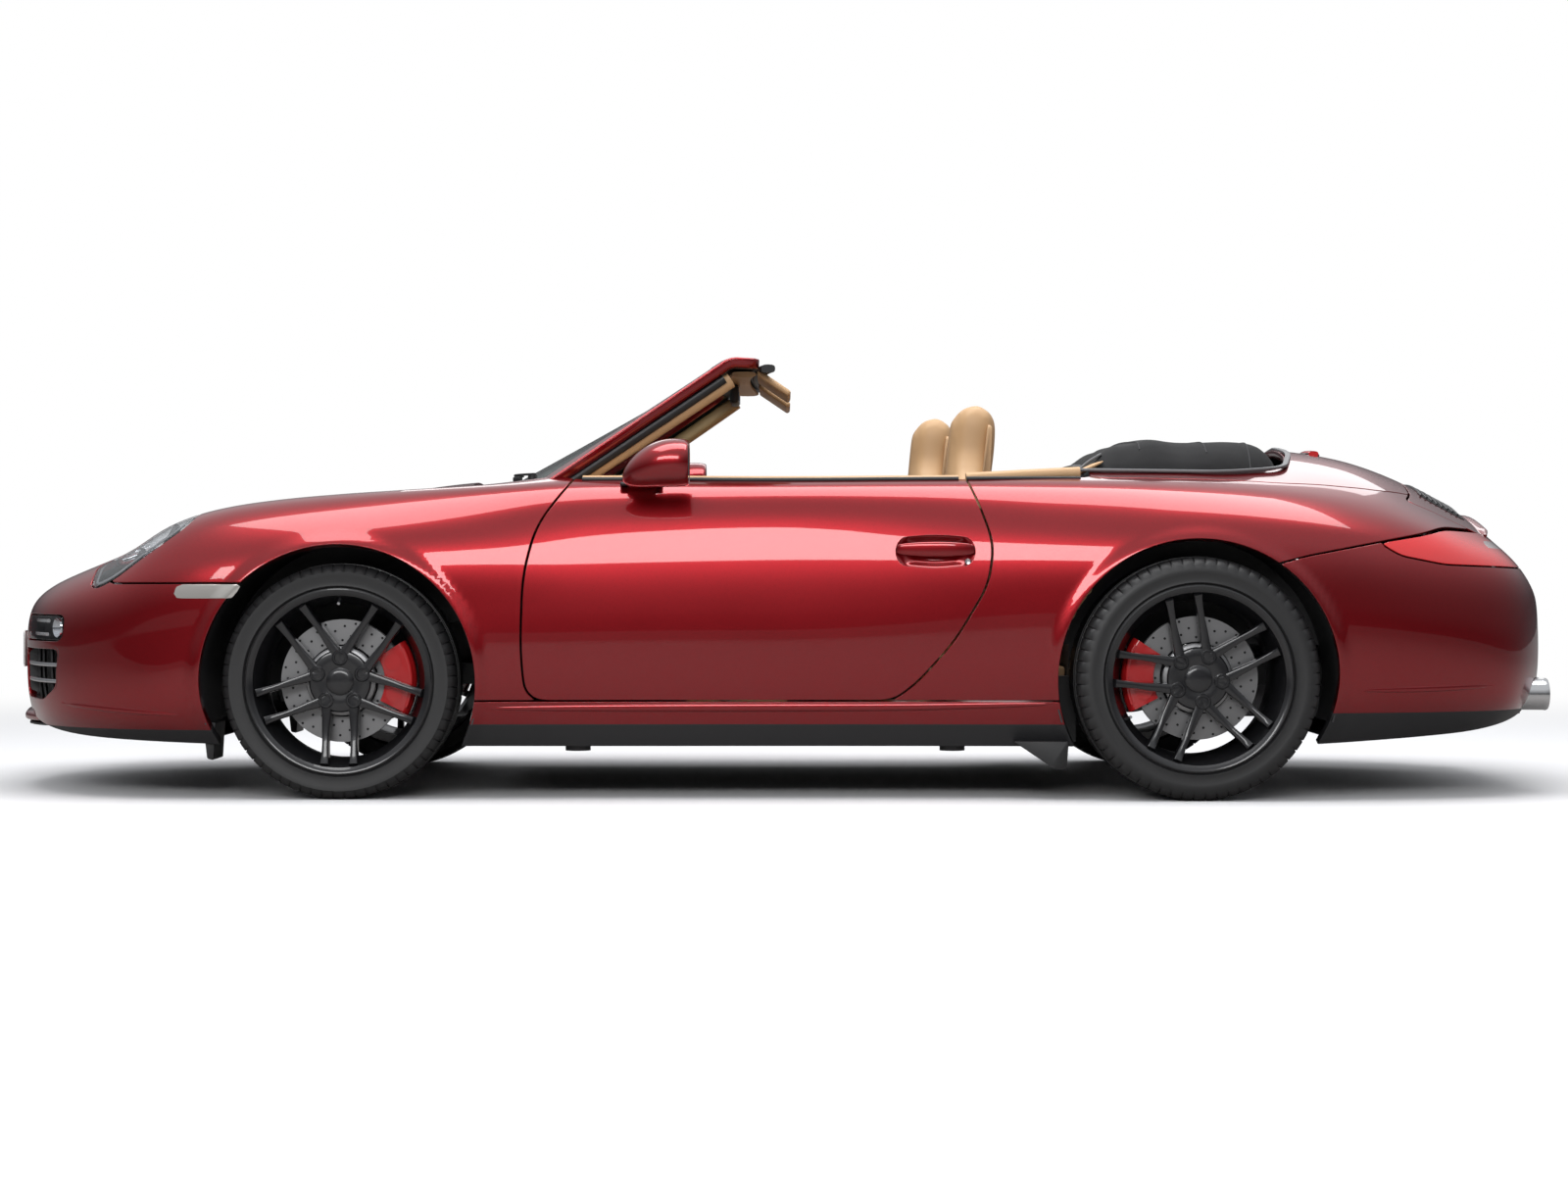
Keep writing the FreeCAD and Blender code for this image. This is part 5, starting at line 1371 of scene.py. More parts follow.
def nose_parts():
    fit = nose_fit(268, 410, 380, 690)
    recess = cut_all(whole, limit(0, high=-1800), end_view(side_intake_line, True, 1, -14))
    panel("side_intake_backs", raised(recess, -85), 4, DARK, DARK, roll=1)
    ring = np.array([(float(fit(y, z)), y, z) for y, z in side_intake_line])
    near, far = ring + (3, 0, 0), ring + (90, 0, 0)
    middle = np.vstack([near, far]).mean(axis=0)
    outer_near, outer_far = [middle + (each - middle) * [1, 1.03, 1.05] for each in (near, far)]
    walls = np.stack([near, far, outer_far, outer_near], axis=1).reshape(-1, 3)
    solid("side_intake_walls", *both((walls, ring_faces(len(ring), 4, True))), TRIM)
    slats, fins, bars = [], [], []
    for z, y_end in ((318, 674), (364, 685)):
        y = np.linspace(388, y_end, 24)
        slats.append(swept(np.stack([fit(y, z) + 16, y, 0 * y + z], axis=1), oval(20, 11, 4)))
    for y, low in ((455, 264), (530, 263), (606, 266)):
        z = np.linspace(low, 408, 12)
        fins.append(swept(np.stack([fit(y, z) + 34, 0 * z + y, z], axis=1), oval(24, 7, 4), (1, 0, 0)))
    solid("side_intake_slats", *both(joined(*slats)), SILVER)
    solid("side_intake_fins", *both(joined(*fins)), TRIM)
    panel("nose_closing", closing_sheet(NOSE_EDGE, 560, 60, 205), 6, DARK, TRIM, roll=1)
    for share in (0.3, 0.62):
        y = np.linspace(-300, 300, 33)
        place = [edge_point(NOSE_EDGE, v) for v in y]
        bars.append(swept([(x + 18, v, z - (z - 208) * share) for (x, z), v in zip(place, y)],
                          oval(18, 9, 3)))
    solid("middle_intake_bars", *joined(*bars), TRIM)
    y = np.linspace(-545, 545, 61)
    share = (np.abs(y) / 545) ** 6
    chin = np.array([(min(edge_point(NOSE_EDGE, v)[0] + 6, -2072), v, 213 - 14 * (v / 545) ** 2) for v in y])
    chin += share[:, None] * [34, 0, 16]
    ease = (1 - 0.7 * share)[:, None] * [1, 1]
    solid("chin", *swept(chin, oval(46, 30, 2.6, 20), scale=ease), PAINT)
    solid("chin_lip", *swept(chin + (20, 0, -21), oval(60, 10, 4, 16), scale=ease), TRIM)


def undertrays():
    trays = {"nose": ((-2150, 300, 198), (-2090, 505, 186), (-1960, 640, 166), (-1830, 715, 158),
                      (-1700, 745, 153), (-1600, 760, 150)),
             "tail": ((1540, 770, 156), (1640, 765, 160), (1800, 720, 168), (1930, 655, 180),
                      (2050, 555, 200), (2130, 430, 226))}
    for name, rows in trays.items():
        points = np.array([[(x, half * u, z + 3) for u in np.linspace(1, -1, 15)] for x, half, z in rows])
        panel(name + "_undertray", grid_sheet(points), 5, UNDER, UNDER, roll=1)
    flaps = [extruded(softened([(640, 160), (750, 86), (786, 82), (792, 160)], 6), 758, 862, 4),
             extruded(softened([(-1592, 210), (-1580, 108), (-1562, 104), (-1556, 210)], 5), 640, 786, 4)]
    solid("wheel_deflectors", *both(joined(*flaps)), RUBBER)


def level(points, degree=6):
    """The same path with its heights on one smooth curve across the car."""
    points = np.array(points, float)
    y = points[:, 1] / np.abs(points[:, 1]).max()
    points[:, 2] = np.polyval(np.polyfit(y, points[:, 2], degree), y)
    return points


def tail_parts():
    panel("tail_closing", closing_sheet(TAIL_EDGE, 560, 70, 214), 6, TRIM, TRIM, roll=1)
    fins = []
    for y in (-240, -120, 0, 120, 240):
        x, z = edge_point(TAIL_EDGE, y)
        fins.append(block((x - 92, y - 5, 208), (x - 24, y + 5, z - 6), 3))
    solid("tail_fins", *joined(*fins), TRIM)
    rings, holes = [], []
    for y in (422, 518):
        outer = turned([(-120, 39), (0, 39), (4, 41), (6, 44), (2, 46), (-6, 45), (-120, 44)], 44)
        rings.append(moved(spun(outer, -90, (0, 0, 1)), (2178, y, 276)))
        hole = turned([(-70, 0.5), (-70, 39.5), (-74, 39.5), (-74, 0.5)], 36)
        holes.append(moved(spun(hole, -90, (0, 0, 1)), (2178, y, 276)))
    solid("tail_pipes", *both(joined(*rings)), STEEL)
    solid("tail_pipe_insides", *both(joined(*holes)), DARK)
    slats = []
    for k in range(8):
        y = np.linspace(-330, 330, 41)
        slats.append(level([top_point(1880 + 15 * k - 14 * (v / 330) ** 2, v, 3) for v in y]))
    solid("engine_lid_slats", *cords_along(slats, 3.8, TRIM), TRIM, "engine_lid")
    field = softened([(1872, 345), (1872, -345), (1992, -345), (1975, 345)], 20)
    patch = cut_all(whole, limit(0, low=1800), lambda s: depth_in(s.points[:, :2], field),
                    limit(2, low=600))
    panel("engine_lid_grille_field", raised(patch, 1.6), 3, DARK, DARK, "engine_lid", roll=1)
    y = np.linspace(-430, 430, 61)
    lip = level([top_point(2044 - 16 * (v / 430) ** 2, v, 2) for v in y])
    ends = np.clip((430 - np.abs(y)) / 60, 0.15, 1) ** 0.5
    solid("engine_lid_lip", *swept(lip, oval(34, 16, 2.6), scale=ends[:, None] * [1, 1]), PAINT,
          "engine_lid")


def side_ridge(path, wide, high):
    """Soft body-colour ridges along both sides, thinning out at their ends."""
    line = curve([(x, 0, z) for x, z in path], 60)
    points = np.array([skin_point(x, z, -3) for x, _, z in line])
    points[:, 1] = averaged(points[:, 1], 3)
    ease = np.sin(np.pi * np.clip(np.linspace(0, 1, 60), 0.004, 0.996)) ** 0.35
    return both(swept(points, oval(wide, high, 2.2, 16), scale=ease[:, None] * [1, 1]))


def ridges():
    solid("front_creases", *side_ridge([(-2005, 258), (-1840, 246), (-1640, 232)], 13, 20), PAINT)
    solid("rear_creases", *side_ridge([(1590, 300), (1780, 304), (1975, 309)], 13, 20), PAINT)
    solid("sill_rails", *side_ridge([(-800, 250), (-300, 252), (300, 254), (745, 262)], 17, 27), PAINT)


def plates():
    for name, x, z, way in (("front", -2217.5, 400, -1), ("rear", 2217.5, 455, 1)):
        near, far = sorted((x, x - way * 3.2))
        solid(name + "_plate_skin", *block((near, -258, z - 53), (far, 258, z + 53), 1), WHITE,
              nodes="number_plates", slot="plate_white")
        ring = softened([(-256, z - 51), (-256, z + 51), (256, z + 51), (256, z - 51)], 12)
        path = [(x - way * 1.6, y, h) for y, h in ring]
        solid(name + "_plate_rim", *swept(path, oval(3, 6, 3, 8), (1, 0, 0), loop=True), TRIM)


nose_parts()
undertrays()
tail_parts()
ridges()
plates()


# Mirrors, door handles and seals
MIRROR_AT = (-285, 905, 921)


def mirrors():
    """Shells that open out from a point in front to the rim of the glass."""
    cx, cy, cz = MIRROR_AT
    deep, count = 143, 48
    rows = []
    for x in [*(cx - deep * np.cos(np.linspace(0.02, math.pi / 2, 22))), -272, -258, -249, -246]:
        t = (cx - x) / deep
        size = (1 - t ** 2.1) ** (1 / 1.9) if t > 0 else 1 - 0.06 * (-t / 0.27) ** 2
        if x > -250:
            size -= 0.012 * (x + 250)
        rows.append([(x, cy + a - 10 * (1 - size), cz + b - 40 * max(t, 0) ** 2)
                     for a, b in oval(2 * 99 * size, 2 * 66 * size, 2.4, count)])
    lip = np.array([(-251, cy + (y - cy) * 0.9, cz + (z - cz) * 0.87) for x, y, z in rows[-1]])
    shell = (np.vstack([*rows, lip, lip + (-8, 0, 0)]), ring_faces(len(rows) + 2, count))
    glass = np.array([(x + 4, cy + (y - cy) * 0.97, cz + (z - cz) * 0.97) for x, y, z in lip])
    plate = (np.vstack([glass, glass + (-3, 0, 0)]), ring_faces(2, count))
    foot = curve([(-380, 770, 862), (-382, 798, 868), (-378, 832, 882), (-372, 864, 902)], 14)
    foot = swept(foot, oval(24, 76, 2.4), (1, 0, 0), scale=np.linspace(1.15, 0.8, 14)[:, None] * [1, 1])
    base = block((-440, 744, 862), (-322, 800, 872), 5, 3)
    for side, word in SIDES:
        body = "door_" + word
        solid("mirror_%s_skin" % word, *on_side(side, shell), PAINT, body, "mirror_" + word, "paint", 55)
        for piece, shape, finish in (("glass", plate, MIRROR), ("foot", foot, PAINT), ("base", base, RUBBER)):
            solid("mirror_%s_%s" % (word, piece), *on_side(side, shape), finish, body)


def handles():
    """Dished fields in the door skins with a bar and a lock."""
    fit = side_fit(300, 550, 625, 735)
    middle = np.array([427, 680])
    rows = []
    for share in np.linspace(0, 1, 13):
        ring = middle + (handle_line - middle) * (0.02 + 0.985 * share)
        deep = 20 * eased((1 - share) / 0.42)
        row = [(x, float(fit(x, z)) - deep - 0.6, z) for x, z in ring]
        rows.append(row + row[:1])
    dish = facing(np.array(rows), 1)
    x = np.linspace(322, 532, 40)
    bow = np.sin(math.pi * (x - 322) / 210)
    bar = np.stack([x, fit(x, 680 + 0 * x) + 7 + 9 * bow ** 0.6, 686 + 0 * x], axis=1)
    grow = np.stack([0.35 + 0.65 * bow ** 0.5, 0.5 + 0.5 * bow ** 0.5], axis=1)
    grip = swept(bar, oval(13, 40, 3, 20), scale=grow)
    lock = aimed(turned([(-3, 0.5), (3, 0.5), (4, 7), (0, 9), (-3, 9)], 24), (0, 1, 0),
                 (515, float(fit(515, 682)) + 4, 652))
    for side, word in SIDES:
        points, faces = on_side(side, (dish.points, dish.faces.tolist()))
        sheet = Sheet(points, dish.normals * [1, side, 1], dish.tags, np.array(faces))
        panel("handle_%s_dish" % word, sheet, 4, PAINT, PAINT, "door_" + word, roll=0.3)
        solid("handle_%s_grip" % word, *on_side(side, grip), PAINT, "door_" + word)
        solid("handle_%s_lock" % word, *on_side(side, lock), SILVER, "door_" + word)


def seals():
    """Weather strips and leather caps along the top of the doors and beside the rear seats."""
    for low, high, name, body in ((-548, 498, "door", None), (520, 838, "rear", "body")):
        x = np.linspace(low, high, 40)
        top = averaged(np.array([top_point(v, 731)[2] for v in x]), 4)
        line = np.interp(x, (-560, 560, 700, 840), (723, 723, 713, 707))
        rubber = swept(np.stack([x, line, top + 3], axis=1), oval(22, 13, 3))
        rise, tall = (-7, 44) if name == "door" else (4 + 16 * (x - low) / (high - low), 34)
        cap = swept(np.stack([x, line - 32, top + rise], axis=1), oval(50, tall, 3))
        for side, word in SIDES:
            where = body or "door_" + word
            solid("%s_seal_%s" % (name, word), *on_side(side, rubber), RUBBER, where)
            solid("%s_cap_%s" % (name, word), *on_side(side, cap), LEATHER, where)


def door_cards():
    """Leather walls inside the doors with armrest, pull and pocket."""
    rest = curve([(-330, 742, 640), (-240, 722, 622), (-60, 712, 612), (160, 716, 616),
                  (300, 742, 640)], 40)
    grow = (1 - 0.5 * np.linspace(-1, 1, 40) ** 4)[:, None] * [1, 1]
    rest = swept(rest, oval(58, 42, 3, 20), scale=grow)
    pull = curve([(-160, 726, 652), (-150, 700, 668), (-90, 690, 676), (-30, 700, 668),
                  (-20, 726, 652)], 24)
    pull = swept(pull, oval(15, 20, 2.5, 12))
    pocket = block((-420, 762, 330), (160, 800, 440), 12, 3)
    for side, word in SIDES:
        card = cut_all(whole, limit(0, -800, 700), half_of(side), side_view(door_line, 1, GAP + 7),
                       off_cabin, limit(2, high=866))
        panel("door_card_" + word, raised(card, -57), 5, LEATHER, LEATHER, "door_" + word, roll=1)
        for piece, shape, finish in (("armrest_", rest, LEATHER), ("door_pull_", pull, GREY),
                                     ("door_pocket_", pocket, DASH)):
            solid(piece + word, *on_side(side, shape), finish, "door_" + word)


mirrors()
handles()
seals()
door_cards()


# Cabin: dash, instruments, wheel and console
WHEEL_AT, WHEEL_TILT = np.array((-235, -375, 770)), math.radians(24)
DIALS_AT = np.array((-331, -375, 868))
FLOOR_Z, CABIN_FRONT = 175, -690


def placed(shape, side_way, out_way, up_way, place):
    turn = np.array([side_way, out_way, up_way], float)
    return np.asarray(shape[0]) @ turn + place, shape[1]


def facing_back(shape, place, lean=0.0):
    """A form built about its Y axis, facing the seats, leaning back by an angle."""
    c, s = math.cos(lean), math.sin(lean)
    return placed(shape, (0, -1, 0), (c, 0, s), (-s, 0, c), place)


def tablet(width, height, thick, radius, bevel=2.0):
    """Rounded plate in local x and z, its face at local y = thick."""
    half, tall = width / 2, height / 2
    ring = softened([(-half, -tall), (-half, tall), (half, tall), (half, -tall)], radius)
    points = []
    for y, full in ((0, 1.0), (thick - bevel, 1.0), (thick - bevel * 0.3, 0.7), (thick, 0.0)):
        inset = 2 * bevel * (1 - full)
        points.append(np.insert(ring * (1 - inset / width, 1 - inset / min(width, height)), 1, y, axis=1))
    return np.vstack(points), ring_faces(len(points), len(ring))


def dash():
    profile = softened([(CABIN_FRONT, 470), (CABIN_FRONT, 836), (-600, 862), (-400, 870), (-334, 838),
                        (-328, 716), (-405, 600), (-520, 480)], 44)
    edge = lambda y: float(np.interp(y, (632, 722), (-700, -560)))
    solid("dash_skin", *extruded(profile, -720, 720, 12, shift=edge), DASH, nodes="dashboard",
          slot="dash_leather")
    pad = softened([(CABIN_FRONT + 30, 846), (-600, 872), (-402, 880), (-352, 862), (-350, 852),
                    (-640, 840)], 14)
    solid("dash_top_pad", *extruded(pad, -640, 640, 8), TRIM)
    strip = softened([(-338, 770), (-321, 770), (-318, 782), (-321, 794), (-338, 794)], 5)
    solid("dash_strip", *joined(extruded(strip, 150, 700, 4), extruded(strip, -700, -600, 4)), SILVER)
    y = np.linspace(-1, 1, 41)
    arc = np.sqrt(np.clip(1 - np.abs(y) ** 2.6, 0, 1))
    rows = [np.stack([np.full(41, x), DIALS_AT[1] + y * wide, 866 + high * arc], axis=1)
            for x, wide, high in ((-520, 150, 8), (-470, 172, 34), (-400, 186, 58), (-340, 192, 68),
                                  (-300, 194, 70), (-296, 190, 66), (-300, 184, 60), (-340, 182, 56))]
    solid("binnacle_hood", *closed_below(facing(np.array(rows), 2)), TRIM, sharp=50)
    solid("dial_panel", *facing_back(tablet(352, 118, 9, 50), DIALS_AT - (9, 0, 0), 0.1), TRIM)
    rims, discs, marks, needles = [], [], [], []
    for y, z, radius, reading in ((0, 3, 50, 40), (-90, 0, 38, -30), (90, 0, 38, 10), (-150, -8, 24, 60),
                                  (150, -8, 24, 20)):
        on_panel = lambda shape: facing_back(shape, DIALS_AT + (0, y, z), 0.1)
        rims.append(on_panel(turned([(-2, radius), (5, radius), (6, radius + 2), (4, radius + 4),
                                     (-2, radius + 4)], 40)))
        discs.append(on_panel(turned([(-2, 0.5), (1.5, 0.5), (1.5, radius), (-2, radius)], 36)))
        tick = block((-0.9, 1, radius * 0.8), (0.9, 2.4, radius * 0.94), 0)
        marks += [on_panel(spun(tick, -120 + 20 * k, (0, 1, 0))) for k in range(13)]
        hand = joined(block((-0.8, 2.4, -6), (0.8, 3.4, radius * 0.82), 0),
                      turned([(2, 0.5), (4.5, 0.5), (4.5, 4), (2, 4)], 16))
        needles.append(on_panel(spun(hand, reading, (0, 1, 0))))
    solid("dial_rims", *joined(*rims), SILVER)
    solid("dial_faces", *joined(*discs), DIAL)
    solid("dial_marks", *joined(*marks), WHITE)
    solid("dial_hands", *joined(*needles), CALIPER)


def vents():
    frames, slats, holes = [], [], []
    for y, z, wide in ((-636, 812, 92), (-66, 790, 108), (66, 790, 108), (636, 812, 92)):
        place = (-331, y, z)
        frames.append(facing_back(tablet(wide, 62, 9, 14), place, 0.12))
        # Dark plates fill the vent openings: painted shade in place of open vents
        holes.append(facing_back(tablet(wide - 14, 48, 10, 9, 0.6), place, 0.12))
        bar = block((-wide / 2 + 8, 8, -20), (wide / 2 - 8, 13, -17), 0.8)
        slats.append(facing_back(grown(ROW, bar, TRIM, Count=4, Step=(0, 0, 12 * MM)), place, 0.12))
    solid("vent_frames", *joined(*frames), SILVER)
    solid("vent_hole_shades", *joined(*holes), DARK)
    solid("vent_slats", *joined(*slats), TRIM)


def centre_stack():
    stack = softened([(-450, 420), (-460, 760), (-326, 760), (-322, 640), (-300, 520), (-260, 440)], 26)
    solid("stack_panel", *extruded(stack, -128, 128, 10), TRIM)
    keys, knobs = [], []
    screen = facing_back(tablet(164, 96, 7, 8), (-327, 0, 676), 0.05)
    solid("stack_screen", *screen, SCREEN)
    for side in (-1, 1):
        key = facing_back(tablet(20, 17, 6, 4, 1.2), (-327, side * 99, 640), 0.05)
        keys.append(grown(ROW, key, GREY, Count=4, Step=(0, 0, 24 * MM)))
        knobs.append(facing_back(turned([(0, 14), (14, 13), (16, 11), (16, 0.5), (0, 0.5)], 28),
                                 (-318, side * 72, 596), 0.18))
    key = facing_back(tablet(22, 14, 6, 3, 1.2), (-309, -70, 560), 0.2)
    keys.append(grown(ROW, key, GREY, Count=6, Step=(0, 28 * MM, 0)))
    solid("stack_keys", *joined(*keys), GREY)
    solid("stack_knobs", *joined(*knobs), SILVER)


def console():
    tunnel = softened([(-600, FLOOR_Z + 1), (-600, 470), (-330, 452), (-250, 430), (190, 404), (205, 380),
                       (205, FLOOR_Z + 1)], 22)
    solid("console_skin", *extruded(tunnel, -96, 96, 12), DASH)
    tray = softened([(-262, 428), (-262, 440), (-60, 424), (180, 410), (180, 398)], 5)
    solid("console_tray", *extruded(tray, -74, 74, 4), TRIM)
    boot = turned([(436, 0.5), (436, 52), (450, 46), (466, 30), (480, 17), (500, 11), (516, 9),
                   (516, 0.5)], 28)
    knob = turned([(500, 7), (520, 8), (528, 17), (545, 25), (566, 26), (580, 20), (586, 8), (586, 0.5),
                   (500, 0.5)], 28)
    ring = turned([(518, 9), (518, 13), (526, 18), (529, 15)], 28)
    for piece, shape, finish in (("boot", boot, GRIP), ("knob", knob, GRIP), ("ring", ring, SILVER)):
        upright = placed(shape, (1, 0, 0), (0, 0, 1), (0, 1, 0), (-165, 0, -14))
        solid("shift_" + piece, *upright, finish)
    path = curve([(20, -38, 422), (60, -38, 440), (130, -38, 452), (182, -38, 452)], 16)
    solid("hand_brake", *swept(path, oval(22, 19, 2.4)), GRIP)
    solid("hand_brake_button", *swept([(180, -38, 452), (192, -38, 452)], oval(10, 10)), SILVER)
    box_lid = softened([(40, 404), (42, 452), (60, 462), (192, 456), (204, 440), (206, 396)], 14)
    solid("console_lid", *extruded(box_lid, -20, 84, 10), LEATHER)


def steering():
    """Grip, spokes, pad and column of the steering wheel, as on the construction's place and tilt."""
    column_way = polar(1, WHEEL_TILT)
    body = "steering_wheel"
    set_wheel = lambda shape: facing_back(shape, WHEEL_AT, WHEEL_TILT)
    grip = turned([(a, 170 + b) for a, b in oval(27, 31, 2.2, 20)], 96)
    solid("steering_wheel_skin", *set_wheel(grip), GRIP, body, body, "wheel_leather", None)
    spokes, levers = [], []
    grow = np.array([[1.5, 1.2], [1.2, 1], [0.9, 0.9], [0.85, 0.9], [1.05, 1]])
    grow = np.stack([np.interp(np.linspace(0, 4, 14), range(5), grow[:, k]) for k in (0, 1)], axis=1)
    for angle in (2, 178, 252, 288):
        path = [polar(r, math.radians(angle), lift)
                for r, lift in ((30, -16), (70, -14), (110, -8), (140, -3), (164, 0))]
        spokes.append(swept(curve(path, 14), oval(30, 12, 2.6), (0, 1, 0), scale=grow))
    solid("steering_spokes", *set_wheel(joined(*spokes)), GREY, body)
    outline = softened([(-66, 40), (66, 40), (50, -44), (22, -62), (-22, -62), (-50, -44)], 30)
    rows = [np.insert(outline * share, 1, y, axis=1)
            for y, share in ((-26, 0.92), (-4, 1.0), (6, 0.95), (12, 0.8), (14, 0.45))]
    pad = (np.vstack(rows), ring_faces(len(rows), len(outline)))
    solid("steering_pad", *set_wheel(pad), GRIP, body, sharp=55)
    solid("steering_cover", *set_wheel(turned([(-30, 0.5), (-30, 40), (-52, 34), (-52, 0.5)], 36)), TRIM,
          body)
    start = WHEEL_AT - column_way * 58
    column = curve([start, start - column_way * 50, start - column_way * 130], 8)
    solid("steering_column_cover", *swept(column, oval(92, 86, 3, 24)), TRIM)
    at = start - column_way * 14
    for side, _ in SIDES:
        path = curve([at + (0, side * 40, 0), at + (6, side * 100, 8), at + (20, side * 150, 14)], 10)
        levers.append(swept(path, oval(13, 9, 2.2, 12)))
    solid("column_levers", *joined(*levers), TRIM)


def cabin_trims():
    """Kick panels beside the footwells and covers inside the screen pillars."""
    kicks = [block((-716, 694, FLOOR_Z + 1), (-560, 712, 700), 6),
             block((-716, 640, 470), (-660, 720, 850), 8)]
    solid("kick_panels", *both(joined(*kicks)), CARPET)
    covers = [along_pillar(side, 34, 58, -20, 10, oval(34, 46, 2.4, 14)) for side, _ in SIDES]
    solid("pillar_covers", *joined(*covers), LEATHER)
    path = [screen_point(y, SCREEN_RISE + 70, 44) for y in np.linspace(-470, 470, 30)]
    solid("header_cover", *swept(path, oval(70, 16, 3)), LEATHER)


def rear_side_cards():
    """Leather walls beside the rear seats, inside the quarters."""
    for side, word in SIDES:
        wall = cut_all(whole, limit(0, 470, 838), half_of(side), limit(2, 330, 850), off_cabin,
                       round_view(REAR_AXLE, REAR_ARCH, 12))
        panel("rear_side_card_" + word, raised(wall, -74), 5, LEATHER, LEATHER, roll=1)


def arch_liners():
    """Black shells over the wheels, between the skin and the floor."""
    liners = []
    for (x, z), radius, inner, outer in ((FRONT_AXLE, FRONT_ARCH, 600, 848),
                                         (REAR_AXLE, REAR_ARCH, 610, 866)):
        angle = np.radians(np.linspace(-18, 198, 41))
        for side in (-1, 1):
            rows = [[(x + reach * math.cos(t), side * y, z + reach * math.sin(t)) for y in (inner, outer)]
                    for reach, turn in ((radius + 3, 1), (radius + 7, -1)) for t in angle[::turn]]
            points = np.array(rows).reshape(-1, 3)
            count = len(rows)
            faces = [[2 * i, 2 * i + 1, (2 * i + 3) % (2 * count), (2 * i + 2) % (2 * count)]
                     for i in range(count)]
            faces += [[2 * i, 2 * (i + 1), 2 * (count - 2 - i), 2 * (count - 1 - i)] for i in range(40)]
            faces += [[2 * i + 1, 2 * (count - 1 - i) + 1, 2 * (count - 2 - i) + 1, 2 * (i + 1) + 1]
                      for i in range(40)]
            liners.append((points, faces))
    solid("arch_liners", *joined(*liners), UNDER)


def pedals():
    pads = []
    for y, z, wide in ((-470, 250, 34), (-380, 262, 62), (-290, 240, 44)):
        pad = block((-604, y - wide / 2, z), (-596, y + wide / 2, z + 74), 3)
        pads.append(spun(pad, -18, (0, 1, 0), (-600, y, z)))
        pads.append(rod((-606, y, z + 40), (-650, y, z + 190), 7))
    solid("pedals", *joined(*pads), GREY)
    mats = [block((-560, side * 390 - 215, FLOOR_Z + 1), (-60, side * 390 + 215, FLOOR_Z + 11), 5)
            for side, _ in SIDES]
    solid("floor_mats", *joined(*mats), CARPET)


dash()
vents()
centre_stack()
console()
steering()
cabin_trims()
rear_side_cards()
arch_liners()
pedals()


# Padded pieces: a form from a middle line, filled by a cloth simulation, then its seams
def pad_ring(place, normal, ease, rise, count):
    angle = np.linspace(0, 2 * math.pi, count, endpoint=False)
    u, w = [np.sign(each) * np.abs(each) ** (2 / 3.4) for each in (np.cos(angle), np.sin(angle))]
    lift = w * (place[3] * ease) + np.where(w > 0, w * rise(np.abs(u)), 0)
    return np.stack([place[0] + normal[0] * lift, u * (place[2] * (0.86 + 0.14 * ease)),
                     place[1] + normal[1] * lift], axis=1)


def pad_form(line, rise, steps=40, end=0.07):
    """line rows: x, z of the middle surface, half width, half thickness."""
    table, count = curve(line, steps), 56
    run = unit(np.gradient(table[:, :2], axis=0))
    normal = np.stack([-run[:, 1], run[:, 0]], axis=1)
    share = np.linspace(0, 1, steps)
    near = np.clip(np.minimum(share, 1 - share) / end, 0, 1)
    ease = np.sqrt(np.clip(1 - (1 - near) ** 2, 0.02, 1))
    rows = [pad_ring(place, way, e, lambda u, e=e, v=v: rise(u, v) * e, count)
            for place, way, e, v in zip(table, normal, ease, share)]
    *walls, start, last = ring_faces(steps, count)
    return (np.vstack(rows), [*walls, start[::-1], last[::-1]]), table, normal


def filled_out(shape, voxel, cap, pressure=4.0):
    """A padded form remeshed, swollen by cloth pressure, capped and subdivided once."""
    mesh = bpy.data.meshes.new("pad")
    mesh.from_pydata((np.asarray(shape[0]) * MM).tolist(), [], shape[1])
    obj = linked("pad", mesh)
    scene = bpy.context.scene
    face_outwards(mesh)
    remesh = obj.modifiers.new("remesh", "REMESH")
    remesh.mode, remesh.voxel_size = "VOXEL", voxel * MM
    points, faces = arrays_of(obj)
    obj.modifiers.remove(remesh)
    mesh.clear_geometry()
    mesh.from_pydata((points * MM).tolist(), [], faces)
    cloth = obj.modifiers.new("fill", "CLOTH")
    cloth.settings.use_pressure = True
    cloth.settings.uniform_pressure_force = pressure
    cloth.settings.effector_weights.gravity = 0
    cloth.point_cache.frame_start, cloth.point_cache.frame_end = 1, CLOTH_FRAMES
    for number in range(1, CLOTH_FRAMES + 1):
        scene.frame_set(number)
    swollen, _ = arrays_of(obj)
    obj.modifiers.remove(cloth)
    scene.frame_set(1)
    run = swollen - points
    length = np.linalg.norm(run, axis=1, keepdims=True)
    points = points + run * np.minimum(1, cap / np.maximum(length, 1e-9))
    mesh.vertices.foreach_set("co", (points * MM).ravel())
    mesh.update()
    finer = obj.modifiers.new("finer", "SUBSURF")
    finer.levels = finer.render_levels = 1
    result = arrays_of(obj)
    bpy.data.objects.remove(obj)
    return result


def seam_on(tree, points, ways):
    """The way of a sewn cord over a padded surface, below the given points."""
    path = []
    for place, way in zip(points, ways):
        hit = tree.ray_cast(Vector((np.array(place) + np.array(way) * 260).tolist()),
                            Vector((-np.array(way)).tolist()))[0]
        if hit is not None:
            path.append(np.array(hit) + np.array(way) * 0.4)
    return path


def tree_of(shape):
    return BVHTree.FromPolygons([Vector(p) for p in np.asarray(shape[0]).tolist()],
                                [list(f) for f in shape[1]])


